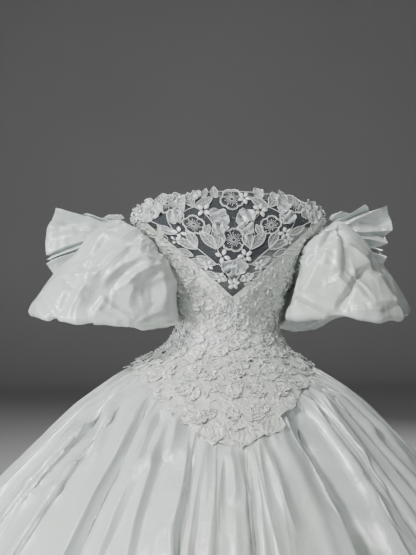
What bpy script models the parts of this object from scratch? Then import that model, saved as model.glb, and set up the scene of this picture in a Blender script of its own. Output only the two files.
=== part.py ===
"""An off-the-shoulder ball gown, standing filled out as it is worn, in metres.

The frame: +Z is up, the gown's front faces -Y, and the wearer's left side is +X. The origin is the centre of
the natural waist, where the wearer's body holds the gown up.

The gown is one envelope of level rings, from the hem to the neckline. A point on it is named by its
azimuth, in degrees from the centre front towards the wearer's left, and its height. The bodice panels,
the sheer yoke and the skirt's gores are walls cut from that envelope. The sleeves are tubes through
their own rings.
"""

import math
from collections import namedtuple

import bmesh
import bpy
from mathutils import Vector

MM = 0.001

# Heights above the waist.
HEM = -1.06
BASQUE_FRONT = -0.232
BASQUE_SIDE = -0.102
BASQUE_BACK = -0.135
BASQUE_SPREAD = 31.0
NECK_V_FRONT = 0.066
NECK_V_BACK = 0.110
UNDERARM = 0.125
SHOULDER_BAND_LOW = 0.214
SHOULDER_BAND_TOP = 0.240
YOKE_TOP_SIDE = 0.250
YOKE_TOP_RISE = 0.068

# The slope of the neckline's V, as rise over run, and the azimuths of the seams.
V_SLOPE_FRONT = 0.87
V_SLOPE_BACK = 0.70
V_PASSES = 12
PRINCESS_SEAM = 22.0
ARMHOLE_FRONT = 62.0
ARMHOLE_BACK = 118.0

# How far the underarm edge is scooped out between its ends, how far the shoulder band's lower edge dips at
# its ends, and how full the arch of the neckline is. A smaller fullness is a fuller arch.
ARMHOLE_SCOOP = 0.062
ARMHOLE_ROUNDNESS = 2.2
BAND_DIP = 0.010
ARCH_FULLNESS = 0.75
SCALLOP_DEPTH = 4.0 * MM
SCALLOPS_PER_TURN = 11.0

# Cloth.
TAFFETA = 2.0 * MM
LACE = 2.0 * MM
NET = 1.2 * MM
SEAM_GAP = 0.6 * MM
Finish = namedtuple("Finish", "color roughness")
IVORY_TAFFETA = Finish((0.80, 0.81, 0.77), 0.38)
IVORY_LACE = Finish((0.82, 0.82, 0.79), 0.60)
ILLUSION_NET = Finish((0.62, 0.64, 0.64), 0.80)
IVORY_SATIN = Finish((0.86, 0.87, 0.85), 0.30)

# The skirt's gores share the pleats evenly. Each pleat is four steps wide. The valleys are fully drawn in to
# their hip depth at a small share of the way down from the seam. Their sides are steeper for a higher
# sharpness.
GORES = 7
STEPS_PER_PLEAT = 4
UPPER_SHARE = 0.12
PLEAT_SHARPNESS = 1.7
WAIST_SEAM_GAP = 1.0 * MM

# The valleys between the pleats, over the front half: where each is, and how deep it is drawn in at the hip
# and at the hem. The back half has the same ones in reverse.
Valley = namedtuple("Valley", "azimuth hip hem")
VALLEYS = [
    Valley(-84.0, 0.026, 0.044),
    Valley(-71.5, 0.022, 0.040),
    Valley(-59.0, 0.024, 0.046),
    Valley(-48.0, 0.032, 0.034),
    Valley(-36.0, 0.042, 0.054),
    Valley(-29.0, 0.022, 0.026),
    Valley(-21.0, 0.022, 0.040),
    Valley(-12.5, 0.036, 0.050),
    Valley(-8.5, 0.014, 0.026),
    Valley(-4.0, 0.020, 0.030),
    Valley(2.5, 0.032, 0.044),
    Valley(7.0, 0.016, 0.028),
    Valley(12.0, 0.020, 0.036),
    Valley(22.0, 0.046, 0.060),
    Valley(29.0, 0.020, 0.030),
    Valley(36.0, 0.030, 0.046),
    Valley(43.5, 0.018, 0.030),
    Valley(51.0, 0.026, 0.042),
    Valley(61.0, 0.024, 0.044),
    Valley(73.0, 0.028, 0.050),
    Valley(84.0, 0.024, 0.044),
]
BACK_TURN = 176.0

# The envelope's rings: how far each reaches to the side, to the front and to the back of its centre, and how
# far its centre sways to the wearer's left. Below the waist the hoop hangs a little to the right.
Ring = namedtuple("Ring", "height side front back sway")
ENVELOPE = [
    Ring(HEM, 0.852, 0.802, 0.930, -0.022),
    Ring(-0.900, 0.822, 0.768, 0.890, -0.021),
    Ring(-0.700, 0.745, 0.690, 0.805, -0.020),
    Ring(-0.500, 0.630, 0.580, 0.680, -0.020),
    Ring(-0.360, 0.515, 0.470, 0.555, -0.019),
    Ring(-0.270, 0.424, 0.386, 0.460, -0.018),
    Ring(-0.200, 0.348, 0.314, 0.380, -0.018),
    Ring(-0.150, 0.284, 0.252, 0.310, -0.017),
    Ring(-0.110, 0.222, 0.195, 0.240, -0.016),
    Ring(-0.075, 0.162, 0.146, 0.172, -0.010),
    Ring(-0.040, 0.130, 0.112, 0.118, -0.004),
    Ring(0.000, 0.119, 0.099, 0.086, 0.000),
    Ring(0.050, 0.128, 0.112, 0.083, 0.000),
    Ring(0.100, 0.147, 0.135, 0.088, 0.001),
    Ring(0.147, 0.166, 0.141, 0.095, 0.002),
    Ring(0.200, 0.201, 0.124, 0.098, 0.002),
    Ring(0.245, 0.229, 0.101, 0.092, 0.002),
    Ring(0.280, 0.223, 0.085, 0.085, 0.002),
    Ring(0.310, 0.202, 0.072, 0.078, 0.002),
    Ring(0.345, 0.170, 0.058, 0.070, 0.002),
]


def smooth(rows, key, value, at):
    """Reads a column of a table at any place along another, on a smooth curve through its rows."""
    last = len(rows) - 1
    i = 0
    while i < last - 1 and getattr(rows[i + 1], key) < at:
        i += 1
    x0, x1 = getattr(rows[i], key), getattr(rows[i + 1], key)
    y0, y1 = getattr(rows[i], value), getattr(rows[i + 1], value)

    def slope(j):
        before, after = rows[max(j - 1, 0)], rows[min(j + 1, last)]
        rise = getattr(after, value) - getattr(before, value)
        return rise / (getattr(after, key) - getattr(before, key))

    t = (at - x0) / (x1 - x0)
    h = x1 - x0
    return (
        y0 * (1 + 2 * t) * (1 - t) ** 2
        + slope(i) * h * t * (1 - t) ** 2
        + y1 * t * t * (3 - 2 * t)
        + slope(i + 1) * h * t * t * (t - 1)
    )


def blend(low, high, t):
    return low + (high - low) * t


def ease(t):
    t = min(max(t, 0.0), 1.0)
    return t * t * (3 - 2 * t)


def steps(count):
    return [i / count for i in range(count + 1)]


def hash01(*numbers):
    """A repeatable fraction from 0 to 1 for whole numbers."""
    total = sum(n * weight for n, weight in zip(numbers, (12.9898, 78.233, 37.719)))
    return (math.sin(total) * 43758.5453) % 1.0


# ---------------------------------------------------------------- the envelope


def on_envelope(azimuth, height):
    """The envelope's point at an azimuth in degrees and a height."""
    a = math.radians(azimuth)
    side = smooth(ENVELOPE, "height", "side", height)
    depth = smooth(ENVELOPE, "height", "front" if math.cos(a) > 0 else "back", height)
    sway = smooth(ENVELOPE, "height", "sway", height)
    return Vector((sway + side * math.sin(a), -depth * math.cos(a), height))


def normal_of(surface, azimuth, height, da=2.0, dz=0.008):
    """The outward direction of a surface, which is a function of azimuth and height."""
    across = surface(azimuth + da, height) - surface(azimuth - da, height)
    up = surface(azimuth, height + dz) - surface(azimuth, height - dz)
    return across.cross(up).normalized()


def radius_at(height):
    return smooth(ENVELOPE, "height", "side", height)


def turned_by(length, azimuth, height):
    """The azimuth, in degrees, that a length along a level ring turns through."""
    across = on_envelope(azimuth + 1, height) - on_envelope(azimuth - 1, height)
    return length * 2 / across.length


def lifted(azimuth, height, out):
    """A point of the envelope, moved out of it."""
    return on_envelope(azimuth, height) + normal_of(on_envelope, azimuth, height) * out


# ---------------------------------------------------------------- edges of the panels


def basque_edge(azimuth):
    """Height of the seam between bodice and skirt: a deep round point in front and a shallow one behind."""
    a = abs((azimuth + 180) % 360 - 180)
    front = (BASQUE_FRONT - BASQUE_SIDE) * math.exp(-((a / BASQUE_SPREAD) ** 1.5))
    back = (BASQUE_BACK - BASQUE_SIDE) * math.exp(-(((180 - a) / BASQUE_SPREAD) ** 1.5))
    return BASQUE_SIDE + front + back


def neck_v(azimuth):
    """Height of the V where the opaque bodice ends and the sheer yoke begins."""
    a = abs((azimuth + 180) % 360 - 180)
    start, slope = (NECK_V_FRONT, V_SLOPE_FRONT) if a <= 90 else (NECK_V_BACK, V_SLOPE_BACK)
    height = start
    for _ in range(V_PASSES):
        height = start + slope * radius_at(min(height, SHOULDER_BAND_TOP)) * math.sin(math.radians(a))
    return min(height, SHOULDER_BAND_TOP)


def armhole_low(azimuth):
    """Height of the underarm edge between the front and back of the armhole."""
    off = abs(abs(azimuth) - 90) / (90 - ARMHOLE_FRONT)
    return UNDERARM + ARMHOLE_SCOOP * off**ARMHOLE_ROUNDNESS


def armhole_top(azimuth):
    """Height of the shoulder band's lower edge."""
    off = abs(abs(azimuth) - 90) / (90 - ARMHOLE_FRONT)
    return SHOULDER_BAND_LOW - BAND_DIP * off**2


def yoke_top(azimuth):
    """Height of the neckline: an arch over the chest with a scalloped edge."""
    rise = abs(math.cos(math.radians(azimuth))) ** ARCH_FULLNESS
    scallop = SCALLOP_DEPTH * abs(math.sin(math.radians(azimuth * SCALLOPS_PER_TURN / 2)))
    return YOKE_TOP_SIDE + YOKE_TOP_RISE * rise + scallop


# ---------------------------------------------------------------- making walls


def cloth(name, finish):
    """A sub-part's own material."""
    made = bpy.data.materials.new(name + "_cloth")
    made.use_nodes = True
    shader = made.node_tree.nodes["Principled BSDF"]
    shader.inputs["Base Color"].default_value = (*finish.color, 1)
    shader.inputs["Roughness"].default_value = finish.roughness
    shader.inputs["Metallic"].default_value = 0.0
    return made


def add_object(name, points, faces, finish):
    mesh = bpy.data.meshes.new(name)
    mesh.from_pydata(points, [], faces)
    mesh.materials.append(cloth(name, finish))
    made = bpy.data.objects.new(name, mesh)
    gown.objects.link(made)
    shell = bmesh.new()
    shell.from_mesh(mesh)
    bmesh.ops.recalc_face_normals(shell, faces=shell.faces)
    shell.to_mesh(mesh)
    shell.free()
    mesh.shade_smooth()
    mesh.set_sharp_from_angle(angle=math.radians(50))
    return made


def wall(name, outside, inside, finish):
    """A closed wall lofted between two grids of points, which are lists of rows."""
    rows, columns = len(outside), len(outside[0])
    points = [p for grid in (outside, inside) for row in grid for p in row]

    def at(layer, i, j):
        return (layer * rows + i) * columns + j

    faces = []
    for i in range(rows - 1):
        for j in range(columns - 1):
            faces.append([at(0, i, j), at(0, i, j + 1), at(0, i + 1, j + 1), at(0, i + 1, j)])
            faces.append([at(1, i, j), at(1, i + 1, j), at(1, i + 1, j + 1), at(1, i, j + 1)])
    for j in range(columns - 1):
        for i in (0, rows - 1):
            faces.append([at(0, i, j), at(1, i, j), at(1, i, j + 1), at(0, i, j + 1)])
    for i in range(rows - 1):
        for j in (0, columns - 1):
            faces.append([at(0, i, j), at(0, i + 1, j), at(1, i + 1, j), at(1, i, j)])
    return add_object(name, points, faces, finish)


def spread(*spans):
    """Azimuths at even steps through one or more spans, each a start, an end and a number of steps."""
    stops = [spans[0][0]]
    for start, end, count in spans:
        stops += [blend(start, end, u) for u in steps(count)[1:]]
    return stops


def panel(name, surface, azimuths, low, high, rows, thickness, finish, relief=None):
    """A wall cut from a surface through a list of azimuths, between two edges given by azimuth.

    relief gives how far the outside stands proud of the surface. The inside stays plain.
    """
    outside, inside = [], []
    middle = (azimuths[0] + azimuths[-1]) / 2
    half = (azimuths[-1] - azimuths[0]) / 2
    for v in steps(rows):
        outer_row, inner_row = [], []
        for cut in azimuths:
            height = blend(low(cut), high(cut), v)
            trim = turned_by(SEAM_GAP / 2, middle + half, height)
            azimuth = middle + (cut - middle) * (1 - trim / half)
            point = surface(azimuth, height)
            out = normal_of(surface, azimuth, height)
            proud = relief(azimuth, height) if relief else 0.0
            outer_row.append(point + out * proud)
            inner_row.append(point - out * thickness)
        outside.append(outer_row)
        inside.append(inner_row)
    return wall(name, outside, inside, finish)


# ---------------------------------------------------------------- bodice

# How many steps each panel is cut in, across its width and up its height.
CENTRE_CUTS = 10
SIDE_CUTS = 9
UNDERARM_CUTS = 8
BACK_CUTS = 9
FRONT_ROWS = 18
UNDERARM_ROWS = 12
BACK_ROWS = 16
BAND_ROWS = 2
YOKE_ROWS = 4

# The lace's rosettes, and where their relief fades out: near the V, and near the centre back opening.
ROSETTE_SPACING = 0.046
ROSETTE_RADIUS = 0.026
ROSETTE_PETALS = 5
PETAL_NOTCH = 0.25
BODICE_RADIUS = 0.13
RELIEF = 4.0 * MM
PLAIN_RELIEF = 0.2 * MM
ROSETTE_SLOPE = 1.6
V_FADE = 0.03
OPENING_EDGE = 168.0
OPENING_FADE = 10.0


def lace_relief(azimuth, height):
    """The thick lace stands proud in staggered five-petalled rosettes, and lies flat along its edges."""
    around = math.radians(azimuth) * BODICE_RADIUS
    row = round(height / ROSETTE_SPACING)
    best = 0.0
    for r in (row - 1, row, row + 1):
        shift = 0.5 * (r % 2) * ROSETTE_SPACING
        column = round((around - shift) / ROSETTE_SPACING)
        centre_x = column * ROSETTE_SPACING + shift
        centre_z = r * ROSETTE_SPACING
        dx, dz = around - centre_x, height - centre_z
        turn = ROSETTE_PETALS * math.atan2(dz, dx) + 2 * math.pi * hash01(r, column)
        petals = 1 - PETAL_NOTCH + PETAL_NOTCH * math.cos(turn)
        best = max(best, 1 - math.hypot(dx, dz) / (ROSETTE_RADIUS * petals))
    to_top = (neck_v(azimuth) - height) / V_FADE
    to_back = (OPENING_EDGE - abs(azimuth)) / OPENING_FADE
    return RELIEF * ease(best * ROSETTE_SLOPE) * ease(to_top) * ease(to_back) + PLAIN_RELIEF


def mirrored(side, start, end, count):
    """A span of azimuths on the wearer's left, or its mirror on the right, always rising."""
    return spread((start, end, count)) if side == "left" else spread((-end, -start, count))


def build_bodice():
    centre = spread((-PRINCESS_SEAM, PRINCESS_SEAM, CENTRE_CUTS))
    lace = LACE, IVORY_LACE, lace_relief
    panel("bodice_front", on_envelope, centre, basque_edge, neck_v, FRONT_ROWS, *lace)
    for side in ("left", "right"):
        front = mirrored(side, PRINCESS_SEAM, ARMHOLE_FRONT, SIDE_CUTS)
        panel(f"bodice_side_{side}", on_envelope, front, basque_edge, neck_v, FRONT_ROWS, *lace)
        under = mirrored(side, ARMHOLE_FRONT, ARMHOLE_BACK, UNDERARM_CUTS)
        panel(f"bodice_underarm_{side}", on_envelope, under, basque_edge, armhole_low, UNDERARM_ROWS, *lace)
        back = mirrored(side, ARMHOLE_BACK, 180.0, BACK_CUTS)
        panel(f"bodice_back_{side}", on_envelope, back, basque_edge, neck_v, BACK_ROWS, *lace)


def build_shoulder_bands():
    """The strip of lace over each armhole, which joins the front to the back off the shoulder."""
    for side in ("left", "right"):
        cuts = mirrored(side, ARMHOLE_FRONT, ARMHOLE_BACK, UNDERARM_CUTS)
        panel(f"shoulder_band_{side}", on_envelope, cuts, armhole_top, neck_v, BAND_ROWS, LACE, IVORY_LACE)


def build_yoke():
    """The sheer illusion net above the V, front and back, with its scalloped upper edge."""

    def low(azimuth):
        return neck_v(azimuth) + 2 * SEAM_GAP

    half = UNDERARM_CUTS // 2
    front = spread(
        (-90.0, -ARMHOLE_FRONT, half),
        (-ARMHOLE_FRONT, -PRINCESS_SEAM, SIDE_CUTS),
        (-PRINCESS_SEAM, PRINCESS_SEAM, CENTRE_CUTS),
        (PRINCESS_SEAM, ARMHOLE_FRONT, SIDE_CUTS),
        (ARMHOLE_FRONT, 90.0, half),
    )
    panel("yoke_front", on_envelope, front, low, yoke_top, YOKE_ROWS, NET, ILLUSION_NET)
    left = spread((90.0, ARMHOLE_BACK, half), (ARMHOLE_BACK, 180.0, BACK_CUTS))
    right = [-azimuth for azimuth in reversed(left)]
    panel("yoke_back_left", on_envelope, left, low, yoke_top, YOKE_ROWS, NET, ILLUSION_NET)
    panel("yoke_back_right", on_envelope, right, low, yoke_top, YOKE_ROWS, NET, ILLUSION_NET)


# ---------------------------------------------------------------- skirt


def ring_of_valleys():
    """Every valley round the skirt, from the centre back over the wearer's right, the front and the left."""
    rear = [v._replace(azimuth=BACK_TURN - v.azimuth) for v in VALLEYS]
    around = [v._replace(azimuth=(v.azimuth + 180) % 360 - 180) for v in VALLEYS + rear]
    around.sort(key=lambda v: v.azimuth)
    return around + [around[0]._replace(azimuth=around[0].azimuth + 360)]


AROUND = ring_of_valleys()


def valley_depth(valley, below):
    """How far a valley is drawn in, at a share of the way from the seam to the hem."""
    if below < UPPER_SHARE:
        return valley.hip * ease(below / UPPER_SHARE)
    return blend(valley.hip, valley.hem, (below - UPPER_SHARE) / (1 - UPPER_SHARE))


def skirt_point(azimuth, height):
    """The pleated taffeta: round crests on the envelope, sharp valleys inside it."""
    seam = basque_edge(azimuth)
    below = min(max((seam - height) / (seam - HEM), 0.0), 1.0)
    turned = (azimuth + 180) % 360 - 180
    i = 0
    while AROUND[i + 1].azimuth <= turned:
        i += 1
    low, high = AROUND[i], AROUND[i + 1]
    share = (turned - low.azimuth) / (high.azimuth - low.azimuth)
    depth = blend(valley_depth(low, below), valley_depth(high, below), ease(share))
    level = normal_of(on_envelope, azimuth, height)
    level.z = 0.0
    return on_envelope(azimuth, height) - level.normalized() * depth * abs(2 * share - 1) ** PLEAT_SHARPNESS


# Each gore's rows, as shares of the way from the seam to the hem.
GORE_ROWS = [0.0, 0.03, 0.07, 0.13, 0.26, 0.48, 0.73, 1.0]


def build_skirt():
    right = ["back_right", "side_back_right", "side_front_right"]
    names = right + ["front"] + [name.replace("right", "left") for name in reversed(right)]
    pleats = (len(AROUND) - 1) // GORES
    for i, name in enumerate(names):
        edges = AROUND[i * pleats : (i + 1) * pleats + 1]
        spans = [(low.azimuth, high.azimuth, STEPS_PER_PLEAT) for low, high in zip(edges, edges[1:])]
        cuts = spread(*spans)
        middle = (cuts[0] + cuts[-1]) / 2
        half = (cuts[-1] - cuts[0]) / 2
        outside, inside = [], []
        for below in GORE_ROWS:
            outer_row, inner_row = [], []
            for cut in cuts:
                height = blend(basque_edge(cut) - WAIST_SEAM_GAP, HEM, below)
                trim = turned_by(SEAM_GAP / 2, cuts[0], height)
                azimuth = middle + (cut - middle) * (1 - trim / half)
                point = skirt_point(azimuth, height)
                outer_row.append(point)
                inner_row.append(point - normal_of(on_envelope, azimuth, height) * TAFFETA)
            outside.append(outer_row)
            inside.append(inner_row)
        wall(f"skirt_{name}", outside, inside, IVORY_TAFFETA)


# ---------------------------------------------------------------- sleeves

# Rings of the puff, from the armhole over the puff and under it to the cuff. Each has its outermost and
# innermost points in x and z, its reach to the front and to the back, how far its front and back points are
# raised and how far they are tucked in towards the bodice, how far its inner corners are drawn in, and how
# deep the groove is that the fan stands in.
PuffRing = namedtuple("PuffRing", "outer_x outer_z inner_x inner_z front back raised tucked corner groove")
PUFF = [
    PuffRing(0.240, 0.226, 0.170, 0.126, 0.066, 0.060, 0.004, 0.028, 0.000, 0.000),
    PuffRing(0.284, 0.246, 0.163, 0.108, 0.108, 0.098, 0.018, 0.030, 0.012, 0.012),
    PuffRing(0.340, 0.208, 0.154, 0.088, 0.142, 0.130, 0.024, 0.026, 0.024, 0.036),
    PuffRing(0.390, 0.152, 0.146, 0.064, 0.162, 0.150, 0.020, 0.018, 0.034, 0.044),
    PuffRing(0.440, 0.100, 0.141, 0.038, 0.174, 0.164, 0.010, 0.010, 0.042, 0.030),
    PuffRing(0.474, 0.056, 0.140, 0.016, 0.178, 0.170, 0.002, 0.004, 0.046, 0.008),
    PuffRing(0.470, 0.020, 0.146, -0.004, 0.170, 0.164, -0.004, 0.000, 0.040, 0.000),
    PuffRing(0.430, 0.002, 0.166, -0.010, 0.140, 0.136, -0.002, 0.000, 0.020, 0.000),
    PuffRing(0.352, 0.026, 0.204, 0.020, 0.076, 0.074, 0.004, 0.000, 0.000, 0.000),
]
# How far each sleeve stands out from the armhole, as a share of its table: the left one hangs closer.
SLEEVE_REACH = {"left": 0.85, "right": 1.0}
SLEEVE_ROOT = 0.240
PUFF_COLUMNS = 32
PUFF_ROWS = 11
GROOVE_WIDTH = 0.35

# The soft ripples round each puff: how many, how deep as a share of its width, how far they lean from ring
# to ring, and the ring where they have died away.
RIPPLES = 7
RIPPLE_DEPTH = 0.05
RIPPLE_LEAN = 0.35
RIPPLE_END = 7.5

# The largest folds of each sleeve, as lines between two places on its rings, with how wide each is and how
# far it stands out. A trough stands out by a negative amount.
Fold = namedtuple("Fold", "side from_ring from_turn to_ring to_turn width stands_out")
FOLDS = [
    Fold("right", 1.6, 0.10, 5.8, 0.055, 0.022, 0.010),
    Fold("right", 2.0, 0.13, 5.5, 0.105, 0.026, -0.012),
    Fold("right", 2.4, -0.12, 3.9, -0.03, 0.024, 0.009),
    Fold("right", 4.0, -0.05, 6.0, -0.07, 0.026, 0.010),
    Fold("right", 2.0, 0.45, 5.6, 0.52, 0.028, -0.011),
    Fold("right", 2.6, 0.60, 5.4, 0.57, 0.026, 0.009),
    Fold("left", 3.2, 0.13, 6.0, -0.035, 0.022, -0.015),
    Fold("left", 1.4, 0.09, 3.0, 0.01, 0.022, -0.012),
    Fold("left", 3.0, 0.00, 4.2, -0.02, 0.024, 0.008),
    Fold("left", 4.6, 0.05, 6.0, 0.12, 0.026, 0.009),
    Fold("left", 2.2, 0.42, 5.8, 0.47, 0.026, -0.012),
    Fold("left", 2.4, 0.58, 5.0, 0.61, 0.028, 0.009),
]
RING_PITCH = 0.05
TURN_LENGTH = 0.95
FOLD_END_POWER = 0.7


def sleeve_place(side, x, y, z):
    """A sleeve's point on its own side, drawn in by the sleeve's reach."""
    if x > SLEEVE_ROOT:
        x = SLEEVE_ROOT + (x - SLEEVE_ROOT) * SLEEVE_REACH[side]
    return Vector((x if side == "left" else -x, y, z))


def puff_point(side, row, turn):
    """A point of the puff. turn goes once round from the front over the outside, from 0 to 1."""
    i = min(int(row), len(PUFF) - 2)
    t = row - i

    def value(key):
        before, low = getattr(PUFF[max(i - 1, 0)], key), getattr(PUFF[i], key)
        high, after = getattr(PUFF[i + 1], key), getattr(PUFF[min(i + 2, len(PUFF) - 1)], key)
        a, b = (high - before) / 2, (after - low) / 2
        left = low * (1 + 2 * t) * (1 - t) ** 2 + a * t * (1 - t) ** 2
        return left + high * t * t * (3 - 2 * t) + b * t * t * (t - 1)

    angle = turn * 2 * math.pi
    sine, cosine = math.sin(angle), math.cos(angle)
    middle_x = (value("outer_x") + value("inner_x")) / 2
    middle_z = (value("outer_z") + value("inner_z")) / 2
    half_x = (value("outer_x") - value("inner_x")) / 2
    half_z = (value("outer_z") - value("inner_z")) / 2
    reach = value("front") if cosine > 0 else value("back")
    swell = math.sin(math.pi * min(row / RIPPLE_END, 1))
    ripple = 1 - RIPPLE_DEPTH * swell * (0.5 + 0.5 * math.cos(RIPPLES * angle + RIPPLE_LEAN * row))
    x = middle_x + half_x * sine * ripple - value("tucked") * cosine**2
    if sine < 0:
        x -= value("corner") * math.sin(2 * angle) ** 2
    else:
        x -= value("groove") * max(1 - (cosine / GROOVE_WIDTH) ** 2, 0) ** 2
    z = middle_z + half_z * sine + value("raised") * cosine**2
    return sleeve_place(side, x, -reach * cosine * ripple, z)


def fold_at(side, row, turn):
    """How far the folds move a point of the puff outwards."""
    total = 0.0
    for fold in FOLDS:
        if fold.side != side:
            continue
        from_turn = fold.from_turn * TURN_LENGTH
        along = (fold.to_ring - fold.from_ring) * RING_PITCH, (fold.to_turn - fold.from_turn) * TURN_LENGTH
        past_half = turn - 1 if turn - fold.from_turn > 0.5 else turn
        place = (row - fold.from_ring) * RING_PITCH, past_half * TURN_LENGTH - from_turn
        length = math.hypot(*along)
        t = (place[0] * along[0] + place[1] * along[1]) / length**2
        off = (place[0] * along[1] - place[1] * along[0]) / length
        faded = math.sin(math.pi * ease(t)) ** FOLD_END_POWER
        total += fold.stands_out * math.exp(-((off / fold.width) ** 2)) * faded
    return total


def puff_edge(side, row, turn):
    """How much of a turn half a seam's gap takes up at a place on the puff."""
    across = puff_point(side, row, turn + 0.01) - puff_point(side, row, turn - 0.01)
    return SEAM_GAP / 2 * 0.02 / across.length


def build_puffs():
    """Each puff is a front and a back, joined along the fold over the shoulder and under the arm."""
    for side, sign in (("left", 1), ("right", -1)):
        for half, first in (("front", -0.25), ("back", 0.25)):
            outside, inside = [], []
            for v in steps(PUFF_ROWS):
                row = v * (len(PUFF) - 1)
                start = first + puff_edge(side, row, first)
                end = first + 0.5 - puff_edge(side, row, first + 0.5)
                outer_row, inner_row = [], []
                for u in steps(PUFF_COLUMNS // 2):
                    turn = blend(start, end, u)
                    point = puff_point(side, row, turn)
                    step = 0.5 / PUFF_COLUMNS
                    across = puff_point(side, row, turn + step) - puff_point(side, row, turn - step)
                    low, high = max(row - 0.3, 0), min(row + 0.3, len(PUFF) - 1)
                    along = puff_point(side, high, turn) - puff_point(side, low, turn)
                    out = along.cross(across).normalized() * sign
                    point += out * fold_at(side, row, turn % 1.0)
                    outer_row.append(point)
                    inner_row.append(point - out * TAFFETA)
                outside.append(outer_row)
                inside.append(inner_row)
            wall(f"sleeve_puff_{half}_{side}", outside, inside, IVORY_TAFFETA)


# The fan stands out between the puff's front and back. Each row is one pleat line, from its root near the
# puff to its outer end, in x and z.
FanLine = namedtuple("FanLine", "root_x root_z end_x end_z")
FANS = {
    "right": [
        FanLine(0.252, 0.254, 0.264, 0.264),
        FanLine(0.262, 0.251, 0.310, 0.262),
        FanLine(0.276, 0.246, 0.362, 0.258),
        FanLine(0.290, 0.236, 0.412, 0.277),
        FanLine(0.300, 0.226, 0.433, 0.242),
        FanLine(0.310, 0.214, 0.438, 0.206),
        FanLine(0.322, 0.200, 0.436, 0.168),
        FanLine(0.336, 0.186, 0.440, 0.150),
        FanLine(0.350, 0.172, 0.418, 0.112),
    ],
    "left": [
        FanLine(0.252, 0.254, 0.264, 0.266),
        FanLine(0.262, 0.251, 0.330, 0.268),
        FanLine(0.276, 0.246, 0.382, 0.272),
        FanLine(0.290, 0.236, 0.420, 0.290),
        FanLine(0.300, 0.226, 0.444, 0.244),
        FanLine(0.310, 0.214, 0.438, 0.196),
        FanLine(0.322, 0.200, 0.424, 0.170),
        FanLine(0.336, 0.186, 0.428, 0.136),
        FanLine(0.350, 0.172, 0.418, 0.112),
    ],
}
FAN_DEPTH = 14 * MM
FAN_ROOT_SHARE = 0.35
FAN_SET_BACK = 4 * MM
FAN_PARTS = 3


def fan_point(side, line, out):
    """A point of the fan, at a place along its lines and a share of the way out."""
    lines = FANS[side]
    i = min(int(line), len(lines) - 2)
    t = line - i
    low, high = lines[i], lines[i + 1]
    x = blend(blend(low.root_x, high.root_x, t), blend(low.end_x, high.end_x, t), out)
    z = blend(blend(low.root_z, high.root_z, t), blend(low.end_z, high.end_z, t), out)
    wave = abs((line % 1.0) * 2 - 1) * 2 - 1
    depth = FAN_DEPTH * blend(FAN_ROOT_SHARE, 1.0, out)
    return sleeve_place(side, x, depth * wave + FAN_SET_BACK, z)


def build_fans():
    for side, lines in FANS.items():
        outside, inside = [], []
        for out in steps(FAN_PARTS):
            outer_row, inner_row = [], []
            for k in range(2 * (len(lines) - 1) + 1):
                point = fan_point(side, k / 2, out)
                outer_row.append(point + Vector((0, -TAFFETA / 2, 0)))
                inner_row.append(point + Vector((0, TAFFETA / 2, 0)))
            outside.append(outer_row)
            inside.append(inner_row)
        wall(f"sleeve_fan_{side}", outside, inside, IVORY_TAFFETA)


# ---------------------------------------------------------------- appliqued petals and buttons

# Petals sewn over the basque seam and on the bodice: where each begins, which way it points in degrees
# clockwise from down as seen from outside, and its size.
Petal = namedtuple("Petal", "name azimuth height heading length width")
PETALS = [
    Petal("basque_1", 3, -0.196, -4, 0.074, 0.058),
    Petal("basque_2", 15, -0.180, -20, 0.072, 0.056),
    Petal("basque_3", 27, -0.146, -28, 0.068, 0.054),
    Petal("basque_4", 41, -0.114, -26, 0.064, 0.050),
    Petal("basque_5", 58, -0.092, -18, 0.058, 0.046),
    Petal("basque_6", 77, -0.082, -8, 0.054, 0.046),
    Petal("basque_7", -9, -0.192, 12, 0.072, 0.056),
    Petal("basque_8", -21, -0.164, 26, 0.070, 0.054),
    Petal("basque_9", -34, -0.128, 30, 0.066, 0.052),
    Petal("basque_10", -49, -0.102, 24, 0.060, 0.048),
    Petal("basque_11", -67, -0.086, 14, 0.056, 0.046),
    Petal("basque_12", -88, -0.082, 6, 0.054, 0.046),
    Petal("basque_13", 100, -0.084, 6, 0.054, 0.046),
    Petal("basque_14", -114, -0.084, -6, 0.054, 0.046),
    Petal("basque_15", 127, -0.088, 14, 0.058, 0.048),
    Petal("basque_16", -141, -0.092, -14, 0.058, 0.048),
    Petal("basque_17", 155, -0.100, 12, 0.062, 0.050),
    Petal("basque_18", -167, -0.104, -8, 0.062, 0.050),
    Petal("bust_1", 2, 0.052, -10, 0.046, 0.022),
    Petal("bust_2", -30, 0.066, 40, 0.044, 0.030),
    Petal("waist_1", -34, -0.040, 20, 0.052, 0.036),
    Petal("waist_2", 12, -0.072, -30, 0.050, 0.040),
]
PETAL_BASE_LIFT = 5.0 * MM
PETAL_TIP_LIFT = 11.0 * MM
PETAL_CUP = 4.0 * MM
PETAL_THICKNESS = 1.2 * MM
PETAL_ROWS = 4
PETAL_CUTS = (-1.0, -0.35, 0.35, 1.0)

# A petal's half width is its widest half times a power of a sine, which starts and ends a little open.
PETAL_OPEN = 0.08
PETAL_CLOSE = 0.98
PETAL_FULLNESS = 0.6
PETAL_TIP_SHARE = 0.06


def petal_point(petal, along, across):
    """A point of a petal, at a share of its length and from -1 to 1 across it."""
    heading = math.radians(petal.heading)
    opened = math.sin(math.pi * blend(PETAL_OPEN, PETAL_CLOSE, along)) ** PETAL_FULLNESS
    half = petal.width / 2 * (opened + PETAL_TIP_SHARE)
    down = petal.length * along
    step_down = down * math.cos(heading) - half * across * math.sin(heading)
    step_right = down * math.sin(heading) + half * across * math.cos(heading)
    slope = slope_of_envelope(petal.azimuth, petal.height)
    height = petal.height - step_down * slope
    azimuth = petal.azimuth + math.degrees(step_right / radius_at(height))
    cupped = PETAL_CUP * across**2 * math.sin(math.pi * along)
    lift = blend(PETAL_BASE_LIFT, PETAL_TIP_LIFT, along**2) + cupped
    return azimuth, height, lift


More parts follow.
